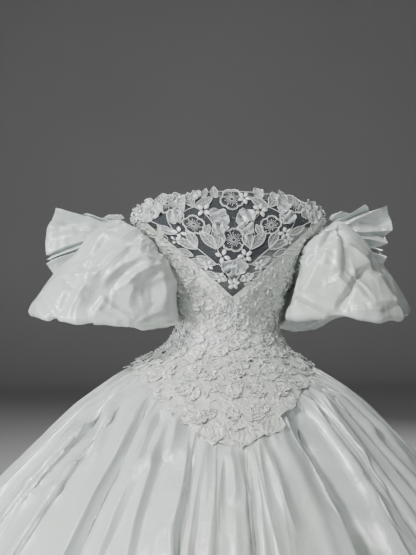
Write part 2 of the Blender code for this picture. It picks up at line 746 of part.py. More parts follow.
def slope_of_envelope(azimuth, height):
    """How much height there is in a step along the envelope, from 0 if it is level to 1 if it is upright."""
    up = on_envelope(azimuth, height + 0.01) - on_envelope(azimuth, height - 0.01)
    return 0.02 / up.length


def build_petals():
    for petal in PETALS:
        outside, inside = [], []
        for along in steps(PETAL_ROWS):
            outer_row, inner_row = [], []
            for across in PETAL_CUTS:
                azimuth, height, lift = petal_point(petal, along, across)
                outer_row.append(lifted(azimuth, height, lift + PETAL_THICKNESS))
                inner_row.append(lifted(azimuth, height, lift))
            outside.append(outer_row)
            inside.append(inner_row)
        wall(f"petal_{petal.name}", outside, inside, IVORY_SATIN)


BUTTON_COUNT = 8
BUTTON_RADIUS = 5.5 * MM
BUTTON_LOWEST = -0.085
BUTTON_PITCH = 0.022
BUTTON_SET_OFF = 9.0 * MM
BUTTON_FLATNESS = 0.5
BUTTON_GAP = 1.0 * MM


def build_buttons():
    """Covered buttons down the centre back, on the wearer's left edge of the opening."""
    for i in range(BUTTON_COUNT):
        height = BUTTON_LOWEST + i * BUTTON_PITCH
        azimuth = 180 - math.degrees(BUTTON_SET_OFF / radius_at(height))
        out = normal_of(on_envelope, azimuth, height)
        bpy.ops.mesh.primitive_uv_sphere_add(segments=8, ring_count=5, radius=BUTTON_RADIUS)
        button = bpy.context.active_object
        button.name = f"button_{i + 1}"
        button.scale = (1, 1, BUTTON_FLATNESS)
        button.rotation_euler = out.to_track_quat("Z", "Y").to_euler()
        button.location = lifted(azimuth, height, BUTTON_RADIUS * BUTTON_FLATNESS + BUTTON_GAP)
        button.data.materials.append(cloth(button.name, IVORY_SATIN))
        button.data.shade_smooth()
        for holder in button.users_collection:
            holder.objects.unlink(button)
        gown.objects.link(button)


for leftover in list(bpy.data.objects):
    bpy.data.objects.remove(leftover)
gown = bpy.data.collections.new("wedding_dress")
bpy.context.scene.collection.children.link(gown)
build_bodice()
build_shoulder_bands()
build_yoke()
build_skirt()
build_puffs()
build_fans()
build_petals()
build_buttons()
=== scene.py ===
"""The looks of an off-the-shoulder wedding gown, as worn: taffeta skirt and sleeves, lace bodice, sheer yoke.

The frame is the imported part's: metres, +Z up, the gown faces -Y, +X is the wearer's left, and the origin
is the centre of the natural waist. A place on the gown's envelope is an azimuth, in degrees from the
centre front towards the wearer's left, and a height.
"""

import math
from collections import namedtuple
from functools import partial

import bpy
import numpy as np
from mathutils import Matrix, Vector


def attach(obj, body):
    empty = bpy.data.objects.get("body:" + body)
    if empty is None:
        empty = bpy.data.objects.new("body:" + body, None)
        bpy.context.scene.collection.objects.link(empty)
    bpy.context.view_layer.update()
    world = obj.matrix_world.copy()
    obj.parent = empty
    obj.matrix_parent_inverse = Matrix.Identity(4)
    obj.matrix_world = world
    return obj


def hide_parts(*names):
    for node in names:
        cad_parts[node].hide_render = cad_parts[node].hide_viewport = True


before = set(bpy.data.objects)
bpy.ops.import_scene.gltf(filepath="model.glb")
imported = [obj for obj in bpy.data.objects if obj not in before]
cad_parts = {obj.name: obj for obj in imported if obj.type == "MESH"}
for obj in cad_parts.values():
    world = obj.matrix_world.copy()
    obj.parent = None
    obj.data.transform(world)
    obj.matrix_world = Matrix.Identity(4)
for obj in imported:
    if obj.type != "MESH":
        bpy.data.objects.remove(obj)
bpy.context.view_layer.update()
MM = 0.001

# ------------------------------------------------------------------ the gown's envelope

HEM = -1.06
BASQUE_FRONT = -0.232
BASQUE_SIDE = -0.102
BASQUE_BACK = -0.135
BASQUE_SPREAD = 31.0
NECK_V_FRONT = 0.066
NECK_V_BACK = 0.110
V_SLOPE_FRONT = 0.87
V_SLOPE_BACK = 0.70
SHOULDER_BAND_TOP = 0.240
UNDERARM = 0.125
SHOULDER_BAND_LOW = 0.214
ARMHOLE_FRONT = 62.0
ARMHOLE_BACK = 118.0
YOKE_TOP_SIDE = 0.250
YOKE_TOP_RISE = 0.068
NECK_V_ROUNDS = 12

Ring = namedtuple("Ring", "height side front back sway")
ENVELOPE = [
    Ring(HEM, 0.852, 0.802, 0.930, -0.022),
    Ring(-0.900, 0.822, 0.768, 0.890, -0.021),
    Ring(-0.700, 0.745, 0.690, 0.805, -0.020),
    Ring(-0.500, 0.630, 0.580, 0.680, -0.020),
    Ring(-0.360, 0.515, 0.470, 0.555, -0.019),
    Ring(-0.270, 0.424, 0.386, 0.460, -0.018),
    Ring(-0.200, 0.348, 0.314, 0.380, -0.018),
    Ring(-0.150, 0.284, 0.252, 0.310, -0.017),
    Ring(-0.110, 0.222, 0.195, 0.240, -0.016),
    Ring(-0.075, 0.162, 0.146, 0.172, -0.010),
    Ring(-0.040, 0.130, 0.112, 0.118, -0.004),
    Ring(0.000, 0.119, 0.099, 0.086, 0.000),
    Ring(0.050, 0.128, 0.112, 0.083, 0.000),
    Ring(0.100, 0.147, 0.135, 0.088, 0.001),
    Ring(0.147, 0.166, 0.141, 0.095, 0.002),
    Ring(0.200, 0.201, 0.124, 0.098, 0.002),
    Ring(0.245, 0.229, 0.101, 0.092, 0.002),
    Ring(0.280, 0.223, 0.085, 0.085, 0.002),
    Ring(0.310, 0.202, 0.072, 0.078, 0.002),
    Ring(0.345, 0.170, 0.058, 0.070, 0.002),
]


def column(rows, key):
    return np.array([getattr(row, key) for row in rows], float)


def smooth(rows, key, value, at):
    """Reads a column of a table at any places along another, on a smooth curve through its rows."""
    x, y = column(rows, key), column(rows, value)
    last = len(x) - 1
    before, after = np.maximum(np.arange(last + 1) - 1, 0), np.minimum(np.arange(last + 1) + 1, last)
    slope = (y[after] - y[before]) / (x[after] - x[before])
    i = np.clip(np.searchsorted(x, at, side="right") - 1, 0, last - 1)
    h = x[i + 1] - x[i]
    t = (at - x[i]) / h
    rise = y[i] * (1 + 2 * t) * (1 - t) ** 2 + slope[i] * h * t * (1 - t) ** 2
    return rise + y[i + 1] * t * t * (3 - 2 * t) + slope[i + 1] * h * t * t * (t - 1)


def ease(t):
    t = np.clip(t, 0, 1)
    return t * t * (3 - 2 * t)


def blend(low, high, t):
    return low + (high - low) * t


def on_envelope(azimuth, height):
    a = np.radians(azimuth)
    side = smooth(ENVELOPE, "height", "side", height)
    front = smooth(ENVELOPE, "height", "front", height)
    back = smooth(ENVELOPE, "height", "back", height)
    sway = smooth(ENVELOPE, "height", "sway", height)
    depth = np.where(np.cos(a) > 0, front, back)
    return np.stack(np.broadcast_arrays(sway + side * np.sin(a), -depth * np.cos(a), height), -1)


def unit(v):
    return v / np.maximum(np.linalg.norm(v, axis=-1, keepdims=True), 1e-12)


def normal_of(surface, azimuth, height, da=1.0, dz=0.004):
    across = surface(azimuth + da, height) - surface(azimuth - da, height)
    up = surface(azimuth, height + dz) - surface(azimuth, height - dz)
    return unit(np.cross(across, up))


def lifted(azimuth, height, out):
    out = np.asarray(out, float)[..., None]
    return on_envelope(azimuth, height) + normal_of(on_envelope, azimuth, height) * out


def half_turn(azimuth):
    """The azimuth's size either way from the centre front, from 0 to 180."""
    return np.abs((azimuth + 180) % 360 - 180)


def basque_edge(azimuth):
    a = half_turn(azimuth)
    front = (BASQUE_FRONT - BASQUE_SIDE) * np.exp(-((a / BASQUE_SPREAD) ** 1.5))
    back = (BASQUE_BACK - BASQUE_SIDE) * np.exp(-(((180 - a) / BASQUE_SPREAD) ** 1.5))
    return BASQUE_SIDE + front + back


def neck_v(azimuth):
    a = half_turn(azimuth)
    start = np.where(a <= 90, NECK_V_FRONT, NECK_V_BACK)
    slope = np.where(a <= 90, V_SLOPE_FRONT, V_SLOPE_BACK)
    height = start
    for _ in range(NECK_V_ROUNDS):
        side = smooth(ENVELOPE, "height", "side", np.minimum(height, SHOULDER_BAND_TOP))
        height = start + slope * side * np.sin(np.radians(a))
    return np.minimum(height, SHOULDER_BAND_TOP)


def yoke_top(azimuth):
    rise = np.abs(np.cos(np.radians(azimuth))) ** 0.75
    return YOKE_TOP_SIDE + YOKE_TOP_RISE * rise


# ------------------------------------------------------------------ noise

LATTICE_PRIMES = 374761393, 668265263, 2147483647
SEED_PRIME = 1274126177
FRACTION_STEPS = 0x1000000


def lattice(ix, iy, iz, seed):
    """A repeatable fraction for each whole-numbered lattice point."""
    n = ix * LATTICE_PRIMES[0] + iy * LATTICE_PRIMES[1] + iz * LATTICE_PRIMES[2] + seed * SEED_PRIME
    n = (n ^ (n >> 13)) * SEED_PRIME
    return ((n ^ (n >> 16)) & (FRACTION_STEPS - 1)) / float(FRACTION_STEPS)


def noise(p, scale, seed=0):
    """Smooth noise from 0 to 1 at points, with features about 1 / scale apart. scale may differ per axis."""
    q = np.asarray(p, float) * scale
    cell = np.floor(q).astype(np.int64)
    f = q - cell
    f = f * f * (3 - 2 * f)
    total = 0.0
    for dx in (0, 1):
        for dy in (0, 1):
            for dz in (0, 1):
                weight = np.ones(f.shape[:-1])
                for axis, d in enumerate((dx, dy, dz)):
                    weight = weight * (f[..., axis] if d else 1 - f[..., axis])
                corner = cell + np.array([dx, dy, dz])
                total = total + weight * lattice(corner[..., 0], corner[..., 1], corner[..., 2], seed)
    return total


def creased(p, scale, seed=0, octaves=2):
    """Noise with crisp ridges, as crumpled taffeta has, around 0."""
    total, size = 0.0, 1.0
    for octave in range(octaves):
        cloud = noise(p, np.asarray(scale) * 2**octave, seed + octave)
        total = total + size * (0.5 - np.abs(2 * cloud - 1))
        size *= 0.5
    return total


# ------------------------------------------------------------------ meshes


def grid_faces(rows, columns, around=False):
    spans = columns if around else columns - 1
    i, j = np.meshgrid(np.arange(rows - 1), np.arange(spans), indexing="ij")
    k = (j + 1) % columns
    low, high = i * columns, (i + 1) * columns
    return np.stack([low + j, low + k, high + k, high + j], -1).reshape(-1, 4)


def add_mesh(name, points, faces, finish, weave=None):
    """A smooth-shaded mesh of four-sided faces. weave gives each point's place along and across the cloth."""
    points = np.asarray(points, float).reshape(-1, 3)
    faces = np.asarray(faces)
    mesh = bpy.data.meshes.new(name)
    mesh.vertices.add(len(points))
    mesh.vertices.foreach_set("co", points.ravel())
    mesh.loops.add(faces.size)
    mesh.loops.foreach_set("vertex_index", faces.ravel())
    mesh.polygons.add(len(faces))
    mesh.polygons.foreach_set("loop_start", np.arange(0, faces.size, 4))
    if weave is not None:
        layer = mesh.uv_layers.new(name="weave")
        layer.data.foreach_set("uv", np.asarray(weave, float).reshape(-1, 2)[faces.ravel()].ravel())
    mesh.update(calc_edges=True)
    mesh.validate()
    mesh.shade_smooth()
    mesh.materials.append(finish)
    made = bpy.data.objects.new(name, mesh)
    bpy.context.scene.collection.objects.link(made)
    return made


def dress(made, slot, *nodes):
    """Lets a piece ride with the gown, and hides the solids that it stands for. slot is not used."""
    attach(made, "root")
    if nodes:
        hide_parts(*nodes)


class Pile:
    """Many small grids gathered into one mesh."""

    def __init__(self):
        self.points, self.faces, self.count = [], [], 0

    def add(self, points, around=False):
        points = np.asarray(points, float)
        rows, columns = points.shape[:2]
        self.points.append(points.reshape(-1, 3))
        self.faces.append(grid_faces(rows, columns, around) + self.count)
        self.count += rows * columns

    def mesh(self, name, finish):
        return add_mesh(name, np.concatenate(self.points), np.concatenate(self.faces), finish)


# A direction that no cord follows, to turn each cord's section from.
CORD_SLANT = np.array([0.13, 0.31, 0.94])


def cord_through(points, radius, sides=5):
    """A round cord along a line of points, as a grid closed round its sides."""
    points = np.asarray(points, float)
    ahead = unit(np.gradient(points, axis=0))
    aside = unit(np.cross(ahead, CORD_SLANT))
    over = np.cross(ahead, aside)
    turn = np.arange(sides) * 2 * math.pi / sides
    radius = np.broadcast_to(np.asarray(radius, float), len(points))
    ring = np.cos(turn)[None, :, None] * aside[:, None] + np.sin(turn)[None, :, None] * over[:, None]
    return points[:, None] + ring * radius[:, None, None]


# ------------------------------------------------------------------ creases

# A crease runs from one place through another to a third. left and right are how wide its slopes are on
# either side, looking along it from outside, and out is how far it stands out: less than nothing for a
# trough.
Crease = namedtuple("Crease", "start through end left right out")
CREASE_PARTS = 8
CREASE_FADE = 0.22
CREST_CRISPNESS = 0.005
CREASE_REACH = 2.4
CREASE_FALL = 1.6


def bent_line(start, through, end):
    """Places along a bent line through three others."""
    start, through, end = (np.array(place, float) for place in (start, through, end))
    bend = 2 * through - (start + end) / 2
    t = np.linspace(0, 1, CREASE_PARTS + 1)[:, None]
    return start * (1 - t) ** 2 + 2 * bend * t * (1 - t) + end * t * t


def beside(points, normals, line):
    """The share of a line at which it is nearest to each point, and how far off it lies, more to the left."""
    nearest = np.full(len(points), np.inf)
    along, off = np.zeros(len(points)), np.zeros(len(points))
    for i in range(len(line) - 1):
        run = line[i + 1] - line[i]
        gap = points - line[i]
        share = np.clip(gap @ run / (run @ run), 0, 1)
        gap = gap - share[:, None] * run
        distance = np.linalg.norm(gap, axis=-1)
        side = np.where((np.cross(run, gap) * normals).sum(-1) < 0, -1.0, 1.0)
        closer = distance < nearest
        nearest = np.where(closer, distance, nearest)
        along = np.where(closer, (i + share) / (len(line) - 1), along)
        off = np.where(closer, distance * side, off)
    return along, off


def add_creases(total, points, normals, surface, creases):
    """Adds each crease's height to the total at points of a surface."""
    for crease in creases:
        places = bent_line(crease.start, crease.through, crease.end)
        line = surface(places[:, 0], places[:, 1])
        middle = line.mean(0)
        span = np.linalg.norm(line - middle, axis=-1).max() + 3 * max(crease.left, crease.right)
        near = np.linalg.norm(points - middle, axis=-1) < span
        if not near.any():
            continue
        along, off = beside(points[near], normals[near], line)
        off = off / np.where(off > 0, crease.left, crease.right)
        reach = np.sqrt(off**2 + CREST_CRISPNESS) - math.sqrt(CREST_CRISPNESS)
        slope = np.maximum(1 - reach / CREASE_REACH, 0) ** CREASE_FALL
        total[near] += crease.out * slope * ease(along / CREASE_FADE) * ease((1 - along) / CREASE_FADE)


FACET_WARP = 0.22
FACET_WAVES = 5
FACET_TOP = 1.1
FACET_LIFT = 0.3


def facets(points, size, count, seed):
    """Crumpled cloth: shallow hollows that meet at crisp ridges, about size across. From 0 to about 1."""
    chance = np.random.default_rng(seed)
    flat = points.reshape(-1, 3)
    middles = flat[chance.choice(len(flat), count, replace=False)]
    warped = flat + FACET_WARP * size * np.sin(flat[:, [1, 2, 0]] * (FACET_WAVES / size) + seed)
    height = np.full(len(flat), FACET_TOP)
    for middle, lift in zip(middles, chance.random(count) * FACET_LIFT):
        height = np.minimum(height, ((warped - middle) ** 2).sum(-1) / size**2 + lift)
    return height.reshape(points.shape[:-1])


def small_creases(seed, count, low, high, run, lean, width, out):
    """Small crisp creases scattered over a surface, between the places low and high.

    run is how long each is and which way it runs, and lean how far it swings to either side. Every third
    is a trough.
    """
    chance = np.random.default_rng(seed)
    low, high, run, lean = (np.array(value) for value in (low, high, run, lean))
    made = []
    for i in range(count):
        where, size, swing, bend, reach, rise = (chance.random(k) for k in (2, 1, 1, 1, 2, 1))
        start = low + (high - low) * where
        end = start + run * (0.4 + 0.6 * size[0]) + lean * (2 * swing[0] - 1)
        middle = (start + end) / 2 + lean * 0.5 * (bend[0] - 0.5)
        height = out * (0.5 + 0.5 * rise[0]) * (1 if i % 3 else -1)
        made.append(Crease(start, middle, end, *(width * (0.5 + reach)), height))
    return made


# Crumple over a surface: how high it stands, how fine it is, its seed, and how many sizes are in it.
Crumple = namedtuple("Crumple", "out scale seed octaves")


def crumpled(crumple, place):
    return crumple.out * creased(place, crumple.scale, crumple.seed, crumple.octaves)


# ------------------------------------------------------------------ skirt

# The valleys between the pleats over the front half: where each is, how deep it is at the hip and at the
# hem, and which side of it is the steeper: a negative lean overhangs from the wearer's right. The back has
# them in reverse.
Valley = namedtuple("Valley", "azimuth hip hem lean")
VALLEYS = [
    Valley(-84.0, 0.024, 0.044, -0.3),
    Valley(-71.5, 0.018, 0.040, -0.4),
    Valley(-59.0, 0.018, 0.046, -0.8),
    Valley(-48.0, 0.012, 0.034, -0.8),
    Valley(-35.4, 0.038, 0.050, -0.8),
    Valley(-29.0, 0.005, 0.026, 0.3),
    Valley(-21.0, 0.003, 0.040, -0.4),
    Valley(-12.5, 0.028, 0.050, -0.8),
    Valley(-8.5, 0.001, 0.026, 0.0),
    Valley(-4.0, 0.003, 0.030, -0.5),
    Valley(2.5, 0.024, 0.044, -0.8),
    Valley(7.0, 0.001, 0.028, 0.2),
    Valley(11.5, 0.002, 0.036, -0.5),
    Valley(24.3, 0.092, 0.084, -0.7),
    Valley(35.5, 0.001, 0.024, -0.9),
    Valley(40.5, 0.008, 0.040, -0.5),
    Valley(46.5, 0.010, 0.030, 0.0),
    Valley(52.0, 0.026, 0.042, -0.5),
    Valley(61.0, 0.014, 0.044, -0.5),
    Valley(73.0, 0.022, 0.050, -0.3),
    Valley(84.0, 0.024, 0.044, -0.3),
]
BACK_TURN = 176.0
UPPER_SHARE = 0.12
GORES = 7
# How far a pleat wanders, in degrees, with how many radians per metre down the skirt and per degree round
# it, and how soon below the seam it does so in full.
WANDERS = [(0.5, 11, 0.09), (0.14, 49, 0.37), (0.09, 87, 0.23)]
WANDER_START = 0.25
# How long a valley keeps its depth at the hip on the way down to the hem: more than 1 keeps it longer.
HIP_KEPT = 1.7
CREST_SHIFT = 0.19
CREST_LIMITS = 0.16, 0.84
CREST_ROUND = 0.035
# Beside a pleat that leans, the gentler side keeps level from its crest, then turns down into a wide
# recess. Both are shares of the way from crest to valley. FULL_LEAN is the lean from which a recess is as
# wide as that.
PANEL_END = 0.10
RECESS_START = 0.60
FULL_LEAN = 0.6
# How far a crest hangs over its valley, as a share of their distance, and how much of that the hem loses.
OVERHANG = 0.8
OVERHANG_LOST = 0.6
# Each valley is cut a little deeper at its bottom and each crest pinched out: in full where the valleys are
# this deep, and by a small share where there are hardly any.
VALLEY_CUT = 0.003
CUT_WIDTH = 0.3
PINCH = 0.0028
PINCH_WIDTH = 0.11
FULL_DEPTH = 0.026
LEAST_CRISP = 0.15
CREASE_STRENGTH = 1.35


def crest_of(lean, next_lean):
    """Where the crest lies between one valley and the next, as a share of the way."""
    return np.clip(0.5 - CREST_SHIFT * (lean + next_lean), *CREST_LIMITS)


def ring_of_valleys():
    rear = [v._replace(azimuth=BACK_TURN - v.azimuth, lean=-v.lean) for v in VALLEYS]
    around = [v._replace(azimuth=(v.azimuth + 180) % 360 - 180) for v in VALLEYS + rear]
    around.sort(key=lambda v: v.azimuth)
    return around + [around[0]._replace(azimuth=around[0].azimuth + 360)]


AROUND = ring_of_valleys()

# The skirt's own creases over its front half, from places given by azimuth and height.
SKIRT_CREASES = [
    Crease((-36.5, -0.150), (-34.5, -0.290), (-35.0, -0.460), 0.006, 0.030, 0.009),
    Crease((-30.0, -0.168), (-28.0, -0.300), (-28.5, -0.520), 0.010, 0.014, 0.009),
    Crease((-22.5, -0.235), (-23.0, -0.330), (-21.0, -0.540), 0.010, 0.016, 0.008),
    Crease((-27.5, -0.170), (-27.6, -0.225), (-26.8, -0.272), 0.012, 0.009, -0.012),
    Crease((-24.5, -0.185), (-23.8, -0.240), (-25.4, -0.285), 0.009, 0.014, 0.009),
    Crease((-20.0, -0.180), (-19.0, -0.230), (-20.5, -0.262), 0.010, 0.010, 0.008),
    Crease((-70.5, -0.150), (-57.0, -0.228), (-47.5, -0.292), 0.020, 0.017, -0.016),
    Crease((-60.0, -0.140), (-48.0, -0.220), (-42.0, -0.310), 0.010, 0.016, 0.010),
    Crease((-76.0, -0.160), (-61.0, -0.292), (-58.5, -0.460), 0.010, 0.026, 0.009),
    Crease((-52.0, -0.240), (-49.5, -0.330), (-49.0, -0.480), 0.010, 0.014, 0.006),
    Crease((-70.0, -0.356), (-62.5, -0.332), (-54.0, -0.322), 0.007, 0.009, 0.006),
    Crease((-57.5, -0.366), (-53.0, -0.340), (-47.5, -0.326), 0.007, 0.009, 0.006),
    Crease((-64.0, -0.392), (-59.5, -0.368), (-56.0, -0.352), 0.006, 0.008, 0.005),
    Crease((-9.3, -0.225), (-10.0, -0.324), (-11.2, -0.520), 0.006, 0.008, 0.0025),
    Crease((-5.6, -0.222), (-6.0, -0.292), (-7.2, -0.480), 0.006, 0.007, 0.0030),
    Crease((-1.6, -0.235), (-0.9, -0.300), (-2.0, -0.335), 0.007, 0.007, 0.0040),
    Crease((-1.2, -0.330), (-1.2, -0.420), (-1.6, -0.560), 0.006, 0.007, 0.0030),
    Crease((5.6, -0.228), (6.2, -0.328), (9.0, -0.540), 0.008, 0.006, 0.0030),
    Crease((9.0, -0.226), (10.2, -0.312), (12.0, -0.400), 0.009, 0.006, 0.0030),
    Crease((12.0, -0.240), (13.2, -0.316), (14.2, -0.378), 0.006, 0.006, -0.003),
    Crease((15.5, -0.215), (17.0, -0.330), (18.0, -0.560), 0.009, 0.012, 0.0040),
    Crease((26.5, -0.168), (21.0, -0.250), (21.5, -0.392), 0.010, 0.016, -0.010),
    Crease((31.0, -0.160), (27.0, -0.300), (30.0, -0.480), 0.014, 0.010, 0.007),
    Crease((37.0, -0.150), (33.4, -0.256), (38.0, -0.440), 0.007, 0.010, 0.010),
    Crease((44.5, -0.142), (42.0, -0.230), (40.5, -0.386), 0.008, 0.007, 0.010),
    Crease((40.5, -0.150), (37.5, -0.240), (39.0, -0.372), 0.009, 0.009, -0.008),
    Crease((49.5, -0.148), (54.0, -0.208), (49.5, -0.286), 0.010, 0.007, 0.009),
    Crease((55.0, -0.150), (60.0, -0.196), (57.0, -0.256), 0.012, 0.009, 0.008),
    Crease((66.0, -0.130), (67.0, -0.220), (63.0, -0.360), 0.012, 0.012, 0.007),
    Crease((52.0, -0.300), (51.0, -0.400), (50.0, -0.560), 0.008, 0.012, 0.006),
    Crease((76.0, -0.120), (78.0, -0.240), (74.0, -0.420), 0.010, 0.014, 0.007),
]


SMALL_SKIRT_CREASES = {
    "seed": 4,
    "count": 90,
    "low": (-88, -0.95),
    "high": (88, -0.22),
    "run": (0, -0.16),
    "lean": (3.0, 0.02),
    "width": 0.008,
    "out": 0.0038,
}
# The crumple is measured round the skirt at one radius and drawn out down its length. Puckers fade within
# their length below the seam, and the rest begins there.
CRUMPLE_RADIUS = 0.33
CRUMPLE_STRETCH = 0.16
PUCKERS = Crumple(0.010, 62, 3, 1)
PUCKER_LENGTH = 0.09
LONG_CRUMPLE = Crumple(0.005, 21, 7, 2)
FINE_CRUMPLE = Crumple(0.0028, 57, 9, 1)
BROAD_CRUMPLE = Crumple(0.0028, 9, 5, 2)


def at_the_back(creases):
    """Creases of the front half, as they lie over the back: in reverse, and each a little elsewhere."""
    moved = []
    for i, crease in enumerate(creases):
        drop = 0.03 * math.sin(2.1 * i)
        places = [(BACK_TURN - place[0], place[1] + drop * (k > 0)) for k, place in enumerate(crease[:3])]
        out = crease.out * (0.8 + 0.3 * math.cos(3.7 * i))
        moved.append(Crease(*places, crease.right, crease.left, out))
    return moved


def skirt_relief(azimuth, height, points, normals):
    """The skirt's creases, puckers and crumple, outward from the pleated form."""
    turned = (azimuth + 180) % 360 - 180
    total = np.zeros(points.shape[:-1])
    flat = total.ravel()
    creases = SKIRT_CREASES + small_creases(**SMALL_SKIRT_CREASES)
    creases = creases + at_the_back(creases)
    add_creases(flat, points.reshape(-1, 3), normals.reshape(-1, 3), skirt_point, creases)
    total = flat.reshape(total.shape) * CREASE_STRENGTH
    down = np.maximum(basque_edge(azimuth) - height, 0)
    run = np.stack([np.radians(turned) * CRUMPLE_RADIUS, height * CRUMPLE_STRETCH, np.zeros_like(height)], -1)
    total += crumpled(PUCKERS, run) * np.exp(-((down / PUCKER_LENGTH) ** 1.3)) * ease(down / 0.02)
    total += crumpled(LONG_CRUMPLE, run) * ease(down / 0.1)
    total += crumpled(FINE_CRUMPLE, run) * ease(down / 0.04)
    total += crumpled(BROAD_CRUMPLE, on_envelope(azimuth, height)) * ease(down / 0.08)
    return total


def skirt_point(azimuth, height):
    """The pleated taffeta: a pleat's crest lies near its steeper side, and may hang over the valley there."""
    seam = basque_edge(azimuth)
    below = np.clip((seam - height) / (seam - HEM), 0, 1)
    wander = sum(far * np.sin(height * down + azimuth * around) for far, down, around in WANDERS)
    turned = (azimuth + wander * ease(below / WANDER_START) + 180) % 360 - 180
    stops, hip, hem, lean = (column(AROUND, key) for key in ("azimuth", "hip", "hem", "lean"))
    i = np.clip(np.searchsorted(stops, turned, side="right") - 1, 0, len(stops) - 2)
    gap = stops[i + 1] - stops[i]
    share = (turned - stops[i]) / gap
    upper = ease(below / UPPER_SHARE)
    lower = np.clip((below - UPPER_SHARE) / (1 - UPPER_SHARE), 0, 1)
    low = blend(hip[i] * upper, hem[i], lower**HIP_KEPT)
    high = blend(hip[i + 1] * upper, hem[i + 1], lower**HIP_KEPT)
    crest = crest_of(lean[i], lean[i + 1])
    before = share < crest
    rise = np.clip(np.where(before, share / crest, (1 - share) / (1 - crest)), 0, 1)
    steep = np.where(before, lean[i], -lean[i + 1])
    drop = np.sqrt((1 - rise) ** 2 + CREST_ROUND**2) - CREST_ROUND
    recess = ease((1 - rise - PANEL_END) / (RECESS_START - PANEL_END))
    fall = blend(drop, recess, ease(np.maximum(-steep, 0) / FULL_LEAN))
    crisp = upper * np.clip(blend(low, high, share) / FULL_DEPTH, LEAST_CRISP, 1)
    cut = VALLEY_CUT * np.exp(-rise / CUT_WIDTH)
    pinch = PINCH * np.exp((rise - 1) / PINCH_WIDTH)
    drawn_in = np.where(before, low, high) * fall + crisp * (cut - pinch)
    hang = OVERHANG * gap * upper * (1 - OVERHANG_LOST * lower)
    over = hang * (np.maximum(-lean[i + 1], 0) * (1 - crest) - np.maximum(lean[i], 0) * crest)
    moved = azimuth + over * rise**2
    level = unit(normal_of(on_envelope, moved, height) * np.array([1, 1, 0.0]))
    return on_envelope(moved, height) - level * drawn_in[..., None]


PLEAT_STEPS = 28
SKIRT_ROWS = 112
ROW_CROWDING = 1.35
SEAM_TUCK = 4.0 * MM
WEAVE_PER_DEGREE = 0.012


def pleat_columns(valleys):
    """Azimuths across pleats, crowded at each crest and each valley."""
    u = np.linspace(0, 1, PLEAT_STEPS // 2 + 1)
    climb = u**1.2 / (u**1.2 + (1 - u) ** 1.5)
    places = []
    for here, following in zip(valleys, valleys[1:]):
        crest = crest_of(here.lean, following.lean)
        share = np.concatenate([crest * climb[:-1], 1 - (1 - crest) * climb[:0:-1]])
        places.append(here.azimuth + (following.azimuth - here.azimuth) * share)
    return np.concatenate(places + [[valleys[-1].azimuth]])


def build_skirt(finish):
    """Seven gores of gathered taffeta, each cut wider at the hem than at the top."""
    right = ["back_right", "side_back_right", "side_front_right"]
    names = right + ["front"] + [name.replace("right", "left") for name in reversed(right)]
    pleats = (len(AROUND) - 1) // GORES
    for i, name in enumerate(names):
        cuts = pleat_columns(AROUND[i * pleats : (i + 1) * pleats + 1])
        down = np.linspace(0, 1, SKIRT_ROWS + 1)[:, None] ** ROW_CROWDING
        azimuth = np.broadcast_to(cuts, (SKIRT_ROWS + 1, len(cuts)))
        height = blend(basque_edge(azimuth) + SEAM_TUCK, HEM, down)
        out = normal_of(skirt_point, azimuth, height, 0.4, 0.006)
        points = skirt_point(azimuth, height)
        points = points + out * skirt_relief(azimuth, height, points, out)[..., None]
        points[..., 2] = np.maximum(points[..., 2], HEM)
        weave = np.stack([azimuth * WEAVE_PER_DEGREE, height], -1)
        gore = add_mesh(f"gore_{name}", points, grid_faces(*azimuth.shape), finish, weave)
        dress(gore, "ivory_taffeta", f"skirt_{name}")


# ------------------------------------------------------------------ sleeves

PuffRing = namedtuple(
    "PuffRing", "ring outer_x outer_z inner_x inner_z front back raised tucked corner groove"
)
PUFF = [
    PuffRing(0, 0.240, 0.226, 0.170, 0.126, 0.066, 0.060, 0.004, 0.028, 0.000, 0.000),
    PuffRing(1, 0.284, 0.246, 0.163, 0.108, 0.108, 0.098, 0.018, 0.030, 0.012, 0.012),
    PuffRing(2, 0.340, 0.208, 0.154, 0.088, 0.142, 0.130, 0.024, 0.026, 0.024, 0.036),
    PuffRing(3, 0.390, 0.152, 0.146, 0.064, 0.162, 0.150, 0.020, 0.018, 0.034, 0.044),
    PuffRing(4, 0.440, 0.100, 0.141, 0.038, 0.174, 0.164, 0.010, 0.010, 0.042, 0.030),
    PuffRing(5, 0.470, 0.056, 0.140, 0.020, 0.178, 0.170, 0.002, 0.004, 0.046, 0.008),
    PuffRing(5.6, 0.470, 0.030, 0.144, 0.005, 0.177, 0.169, -0.003, 0.002, 0.042, 0.002),
    PuffRing(6, 0.458, 0.026, 0.150, 0.006, 0.168, 0.162, -0.004, 0.000, 0.036, 0.000),
    PuffRing(7, 0.424, 0.024, 0.170, 0.010, 0.138, 0.134, -0.002, 0.000, 0.020, 0.000),
    PuffRing(8, 0.352, 0.034, 0.204, 0.028, 0.076, 0.074, 0.004, 0.000, 0.000, 0.000),
]
GROOVE_WIDTH = 0.35
FLATNESS = 0.85
SLEEVE_REACH = {"left": 0.85, "right": 1.0}
SLEEVE_ROOT = 0.240
RING_PITCH = 0.05
TURN_LENGTH = 0.95

